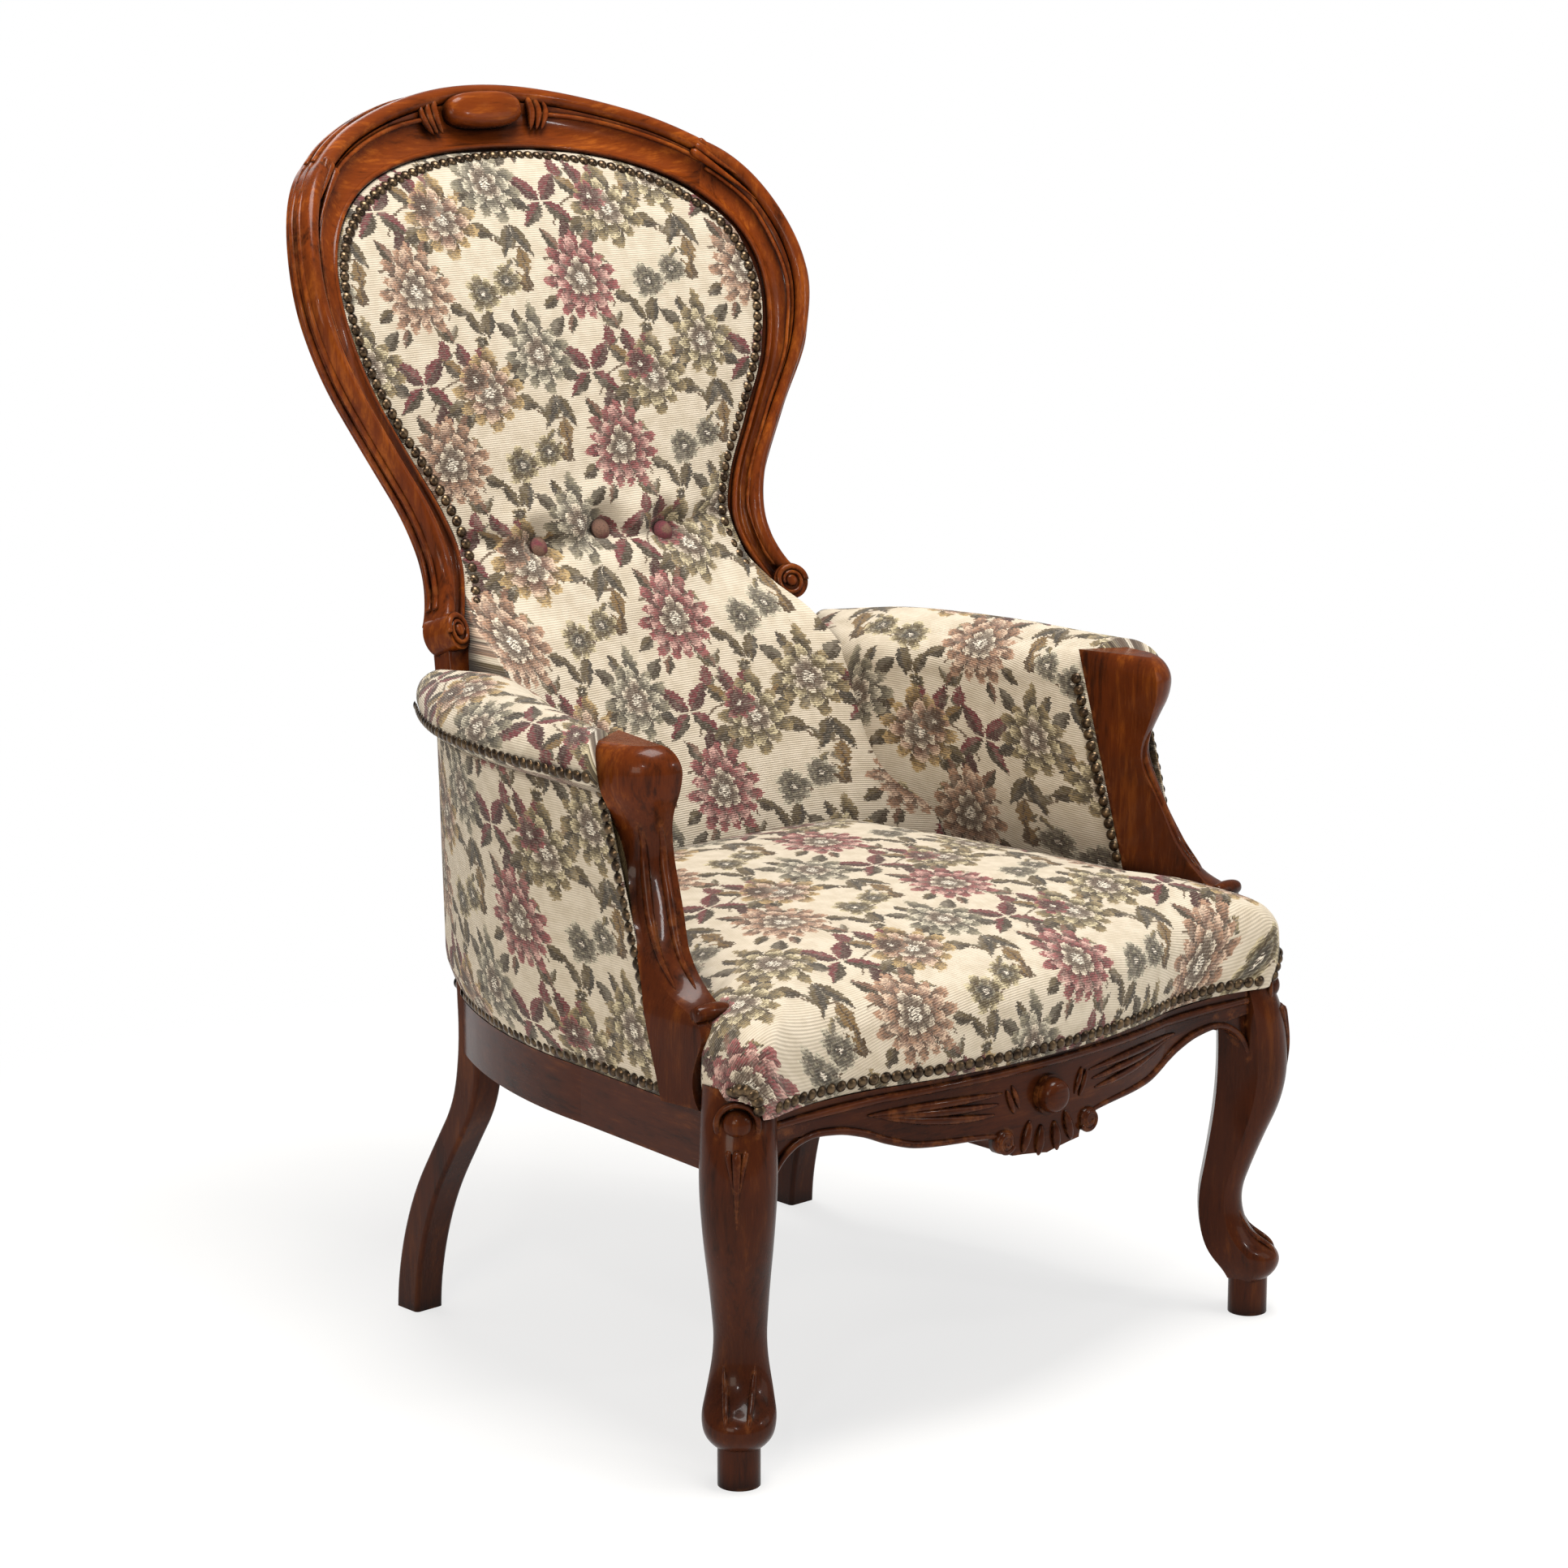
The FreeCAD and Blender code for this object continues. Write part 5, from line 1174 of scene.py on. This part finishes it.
# Lower edge of the front rail: x and height
RAIL_EDGE = [(46, 242), (62, 247), (138, 253.5), (164, 261), (188, 271), (215, 278), (238, 280)]
RAIL_EDGE += [(255, 277), (269, 270), (279, 261), (286, 250), (291, 238), (295, 222)]
BRACKET = [(296, 226), (291, 240), (286, 252), (279, 262), (269, 270), (255, 277), (238, 280)]
BRACKET += [(238, 290), (298, 292)]
BRACKET_FRONT = -346.5
BRACKET_DEPTH = 18.0
EDGE_FRONT = -347.5
EAST, HIGH = (1, 0, 0), (0, 0, 1)


def rail_face(x):
    """Front of the front rail at half-width x, as in plan."""
    x = abs(x)
    if x < RAIL_CURVE_X:
        return RAIL_MIDDLE_Y + (RAIL_CURVE_Y - RAIL_MIDDLE_Y) * (x / RAIL_CURVE_X) ** 2
    return RAIL_CURVE_Y + 6 * math.sin(min(1.0, (x - RAIL_CURVE_X) / 116.0) * math.pi * 0.62)


def smooth_path(corners, count):
    """Even points on a rounded line through the corners."""
    corners = np.array(corners, float)
    table = np.column_stack([lengths(corners), corners])
    return np.column_stack(columns_at(table, np.linspace(0, table[-1, 0], count)))


def knee_bracket(side, word):
    """Bracket that fills the corner between the rail and the knee."""
    front = np.array([(side * a, BRACKET_FRONT, b) for a, b in BRACKET])
    rear = front + (0, BRACKET_DEPTH, 0)
    count = len(BRACKET)
    faces = [tuple(range(count)), tuple(range(2 * count - 1, count - 1, -1))]
    faces += [((k + 1) % count, k, k + count, (k + 1) % count + count) for k in range(count)]
    if side > 0:
        faces = [tuple(reversed(f)) for f in faces]
    bracket = make_mesh(f"knee_bracket_{word}", np.concatenate([front, rear]), faces, wood_up)
    bevel = bracket.modifiers.new("bevel", "BEVEL")
    bevel.width = 0.004
    bevel.segments = 4
    bevel.limit_method = "ANGLE"


def front_carving():
    """Lip, reeded panels, boss, scrolls and knee brackets of the front rail."""
    xs = np.linspace(-LIP_HALF, LIP_HALF, 120)
    lip = [(x, rail_face(x) - 0.6, LIP_HEIGHT + 2.0 * math.cos(x / LIP_HALF * math.pi)) for x in xs]
    sweep("front_lip", lip, 3.6, wood_across)
    boss("front_boss", (0, rail_face(0) - 3.0, BOSS_HEIGHT), EAST, HIGH, 15, 15, 13, 2.0, wood_across)
    for side, word in SIDES:
        at = np.linspace(0, 1, 40)
        for k in range(3):
            x = REED_X + 4 * k + at * (132 - 10 * k)
            rise = 7.5 * at**2 * (1 + 0.9 * k) + 2.5 * np.sin(at * math.pi) - 5 * at
            z = REED_HEIGHT - 8.5 * k + rise
            path = [(side * a, rail_face(a) - 0.2, b) for a, b in zip(x, z)]
            sweep(f"reed_{word}_{k}", path, swell(40, 4.0, 0.6), wood_across)
        path = smooth_path(RAIL_EDGE, 70)
        path = [(side * a, min(rail_face(a), EDGE_FRONT) + 0.4, b + 0.5) for a, b in path]
        sweep(f"rail_edge_{word}", path, swell(70, 3.4, 1.6), wood_across)
        knob = np.array([side * KNOB_X, rail_face(KNOB_X) + 1.0, KNOB_HEIGHT])
        boss(f"apron_knob_{word}", knob, EAST, HIGH, 10.5, 10.5, 6.0, 2.2, wood_across)
        path = []
        for t, r in zip(np.linspace(0.4, TURN * 1.5, 50), np.linspace(SCROLL_RADIUS, 2.2, 50)):
            proud = 4.2 + 0.22 * (SCROLL_RADIUS - r)
            path.append(knob - (side * r * math.cos(t), proud, r * math.sin(t)))
        sweep(f"apron_scroll_{word}", path, np.linspace(2.4, 1.3, 50), wood_across)
        at = np.linspace(0, 1, 16)
        for k, (x, top, lean) in enumerate(((26, 254, 0.5), (10, 248, 0.2))):
            path = [(side * (x - 10 * lean + 16 * lean * a), rail_face(x) - 0.8, top - 26 * a) for a in at]
            sweep(f"apron_lobe_{word}_{k}", path, swell(16, 4.4, 0.8), wood_across)
        at = np.linspace(0, 1, 14)
        for k in range(2):
            x, z = NOTCH_X + 6 * k, NOTCH_HEIGHT - 3 * k
            path = [(side * (x + 9 * a), rail_face(36) - 0.4, z + 22 * a) for a in at]
            sweep(f"rail_notch_{word}_{k}", path, swell(14, 2.6), wood_across)
        knee_bracket(side, word)


LEG_X, LEG_Y = 309.0, -335.0
DROP_TOP = 285.0
RIDGE_TOP = 98.0
RING_RADIUS = 16.5
# Front leg: share of its height, inner and outer edge on the diagonal, width
LEG_LEVELS = [
    (0.108, -19, 17, 40),
    (0.150, -27, 27, 57),
    (0.195, -37, 23, 60),
    (0.260, -44, 1, 52),
    (0.350, -46, -7, 44),
    (0.490, -40, 5, 47),
    (0.676, -33, 27, 57),
    (0.800, -32, 30, 62),
    (0.900, -33, 26, 62),
    (0.990, -34, 16, 60),
]


def leg_surface(z, across, side, proud):
    """Point on the outer face of the front leg at a height, across from its middle line."""
    inner, outer, width = (float(v[0]) for v in columns_at(LEG_LEVELS, [z / RAIL_TOP]))
    shoulder = inner + 0.55 * (outer - inner)
    s = outer - (outer - shoulder) * (across / (width / 2)) ** 2 + proud
    return np.array([side * (LEG_X + DIAGONAL * (s + across)), LEG_Y + DIAGONAL * (across - s), z])


def leg_line(top, fall, across, closing, side, proud, count):
    """Line down the face of a front leg that closes towards its middle."""
    at = np.linspace(0, 1, count)
    return [leg_surface(top - fall * t, across * (1 - closing * t), side, proud) for t in at]


def leg_carving():
    """Ringed knee ball with its drop, and the ridged scroll of the foot."""
    for side, word in SIDES:
        ball = KNEE_BALL * (side, 1, 1)
        out = np.array([side * DIAGONAL, -DIAGONAL, 0])
        right = np.array([side * DIAGONAL, DIAGONAL, 0])
        turn = np.arange(40)[:, None] * TURN / 40
        ring = ball + out * 3.0 + RING_RADIUS * (np.cos(turn) * right + np.sin(turn) * np.array(HIGH))
        sweep(f"knee_ring_{word}", ring, 2.8, wood_up, closed=True)
        for k, (across, fall, thick) in enumerate(((-7.0, 36, 3.2), (0.0, 62, 4.4), (7.0, 36, 3.2))):
            drop = leg_line(DROP_TOP, fall, across, 0.75, side, 0.2, 22)
            sweep(f"knee_drop_{word}_{k}", drop, taper(22, thick), wood_up)
        for k, across in enumerate((-12.5, 12.5)):
            ridge = leg_line(RIDGE_TOP, 51, across, 0.35, side, 0.3, 26)
            sweep(f"foot_ridge_{word}_{k}", ridge, swell(26, 2.8, 0.5), wood_up)


POST_X, POST_Y = 302.0, -215.0
POST_RIDGE = (90.0, 222.0)
TOE_X, TOE_FRONT, TOE_HEIGHT = 322.0, -299.0, 384.0
# Front of the arm post: height over the rail, outer x and y, inner x and y
POST_FRONT = [
    (92, 16, -42, -10, -63),
    (114, 13, -20, -13, -42),
    (149, 6, 1, -19, -26),
    (194, 0, 12, -25, -8),
    (217, 8, 12, -21, -12),
    (242, 20, 15, -21, -21),
]


def post_carving():
    """Two ridges down the front of each arm post, and a small roll at its toe."""
    rise = np.linspace(*POST_RIDGE, 40)
    ox, oy, ix, iy = columns_at(POST_FRONT, rise)
    wide = np.hypot(ox - ix, oy - iy)
    proud = 2.6
    for side, word in SIDES:
        for k, share in enumerate((0.26, 0.74)):
            x = ix + (ox - ix) * share + proud * (oy - iy) / wide
            y = iy + (oy - iy) * share - proud * (ox - ix) / wide
            path = np.column_stack([side * (POST_X + x), POST_Y + y, RAIL_TOP + rise])
            sweep(f"post_ridge_{word}_{k}", path, swell(40, 4.2, 0.6), wood_up)
        xs = np.linspace(TOE_X + 1, TOE_X - 31, 12)
        path = [(side * x, TOE_FRONT - 0.10 * (TOE_X - x), TOE_HEIGHT) for x in xs]
        sweep(f"toe_roll_{word}", path, swell(12, 8.0, 5.5), wood_up, sides=20)


# Scene

cloth = tapestry("tapestry")
gathered_cloth = button_cloth("button_cloth")
wood_up = polished_wood("show_wood_up", (1.0, 1.0, 0.12))
wood_across = polished_wood("show_wood_across", (0.12, 1.0, 1.0))
wood_deep = polished_wood("show_wood_deep", (1.0, 0.12, 1.0))
inner_wood = raw_wood("frame_wood")
nail = bronze("nail")
hessian = coarse_cloth("hessian", lin(186, 158, 112), lin(120, 94, 60), 0.0026)
web = coarse_cloth("webbing", lin(170, 140, 96), lin(98, 76, 50), 0.0034)
dust = coarse_cloth("dust_cloth", lin(46, 44, 43), lin(18, 17, 17), 0.0012)
wire = steel("spring_steel")

FINISHES = [
    (wood_up, "front_leg rear_leg arm_post back_stile"),
    (wood_deep, "side_rail"),
    (wood_across, "back_rail front_rail crest_rail"),
    (inner_wood, "arm_rail lower_back_rail frame_dowels corner_blocks"),
    (wire, "corner_block_screws seat_springs"),
    (web, "seat_webbing back_webbing"),
    (hessian, "seat_hessian arm_hessian"),
    (dust, "dust_cover"),
]
FINISH = {stem: material for material, stems in FINISHES for stem in stems.split()}
for node_name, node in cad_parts.items():
    stem = node_name.removesuffix("_left").removesuffix("_right")
    if "nails" in stem:
        material = nail
    elif "button" in stem:
        material = gathered_cloth
    else:
        material = FINISH.get(stem, cloth)
    node.data.materials.clear()
    node.data.materials.append(material)

inside_back(cloth)
seat_body(cloth)
outside_back(cloth)
for side, word in SIDES:
    arm_body(side, word, cloth)
    outer_arm(side, word, cloth)

back_carving()
front_carving()
leg_carving()
post_carving()

# Floor, light and camera


def seen_by(kit, *rays):
    """1 for rays of these kinds, 0 for others."""
    path = kit.node("ShaderNodeLightPath")
    first, *others = (kit.val(path.outputs[f"Is {ray} Ray"]) for ray in rays)
    for other in others:
        first = first.most(other)
    return first


def floor_material():
    """White floor that keeps a soft shadow under the chair and fades out further away."""
    look = Look("floor")
    glow = look.node("ShaderNodeEmission", {"Strength": 1.0})
    seen = seen_by(look, "Camera", "Glossy", "Transmission")
    x, y, _ = look.split(look.position())
    far = (x * x + y * y).power(0.5).ramp(0.55, 1.15)
    blend = look.node("ShaderNodeMixShader", {0: seen * (far * 0.30 + 0.70)})
    look.tree.links.new(look.shader.outputs[0], blend.inputs[1])
    look.tree.links.new(glow.outputs[0], blend.inputs[2])
    look.tree.links.new(blend.outputs[0], look.tree.nodes["Material Output"].inputs["Surface"])
    return look.done(Base_Color=lin(236, 235, 232), Roughness=0.9)


bpy.ops.mesh.primitive_plane_add(size=14.0, location=(0, 0, 0))
floor = bpy.context.object
floor.name = "floor"
floor.data.materials.append(floor_material())

AMBIENT = 0.34
world = bpy.data.worlds.new("studio")
scene.world = world
world.use_nodes = True
background = world.node_tree.nodes["Background"]
feed(background.inputs["Color"], (1, 1, 1, 1))
seen = seen_by(Kit(world.node_tree), "Camera", "Transmission")
feed(background.inputs["Strength"], seen * (1.0 - AMBIENT) + AMBIENT)


def lamp(name, place, target_height, size, power, colour=(1, 1, 1)):
    """Square lamp aimed at a height on the chair's middle line."""
    data = bpy.data.lights.new(name, "AREA")
    data.size = size
    data.energy = power
    data.color = colour
    obj = bpy.data.objects.new(name, data)
    obj.location = place
    aim = Vector((0, 0, target_height)) - Vector(place)
    obj.rotation_euler = aim.to_track_quat("-Z", "Y").to_euler()
    bpy.context.collection.objects.link(obj)


lamp("key", (0.15, -0.6, 5.0), 0.45, 2.1, 310.0, (1.0, 0.985, 0.96))
lamp("fill", (2.4, -2.6, 1.6), 0.5, 1.6, 12.0, (1.0, 0.95, 0.88))
lamp("side", (-2.8, -1.2, 1.5), 0.5, 1.0, 25.0, (1.0, 0.88, 0.74))
lamp("glint_left", (-2.4, -1.9, 2.5), 0.6, 0.24, 14.0)
lamp("glint_right", (1.5, -3.0, 2.3), 0.5, 0.24, 14.0)
lamp("rim", (0.8, 2.8, 2.4), 0.7, 1.6, 24.0)

CAMERA_PITCH = -0.21006
CAMERA_TURN = -0.74713
camera_data = bpy.data.cameras.new("camera")
camera_data.lens = 95.41
camera_data.sensor_width = 36.0
camera_data.clip_end = 200.0
camera = bpy.data.objects.new("camera", camera_data)
camera.location = (-2.42014, -2.6673, 1.24492)
camera.rotation_euler = (math.pi / 2 + CAMERA_PITCH, 0.0, CAMERA_TURN)
bpy.context.collection.objects.link(camera)
scene.camera = camera
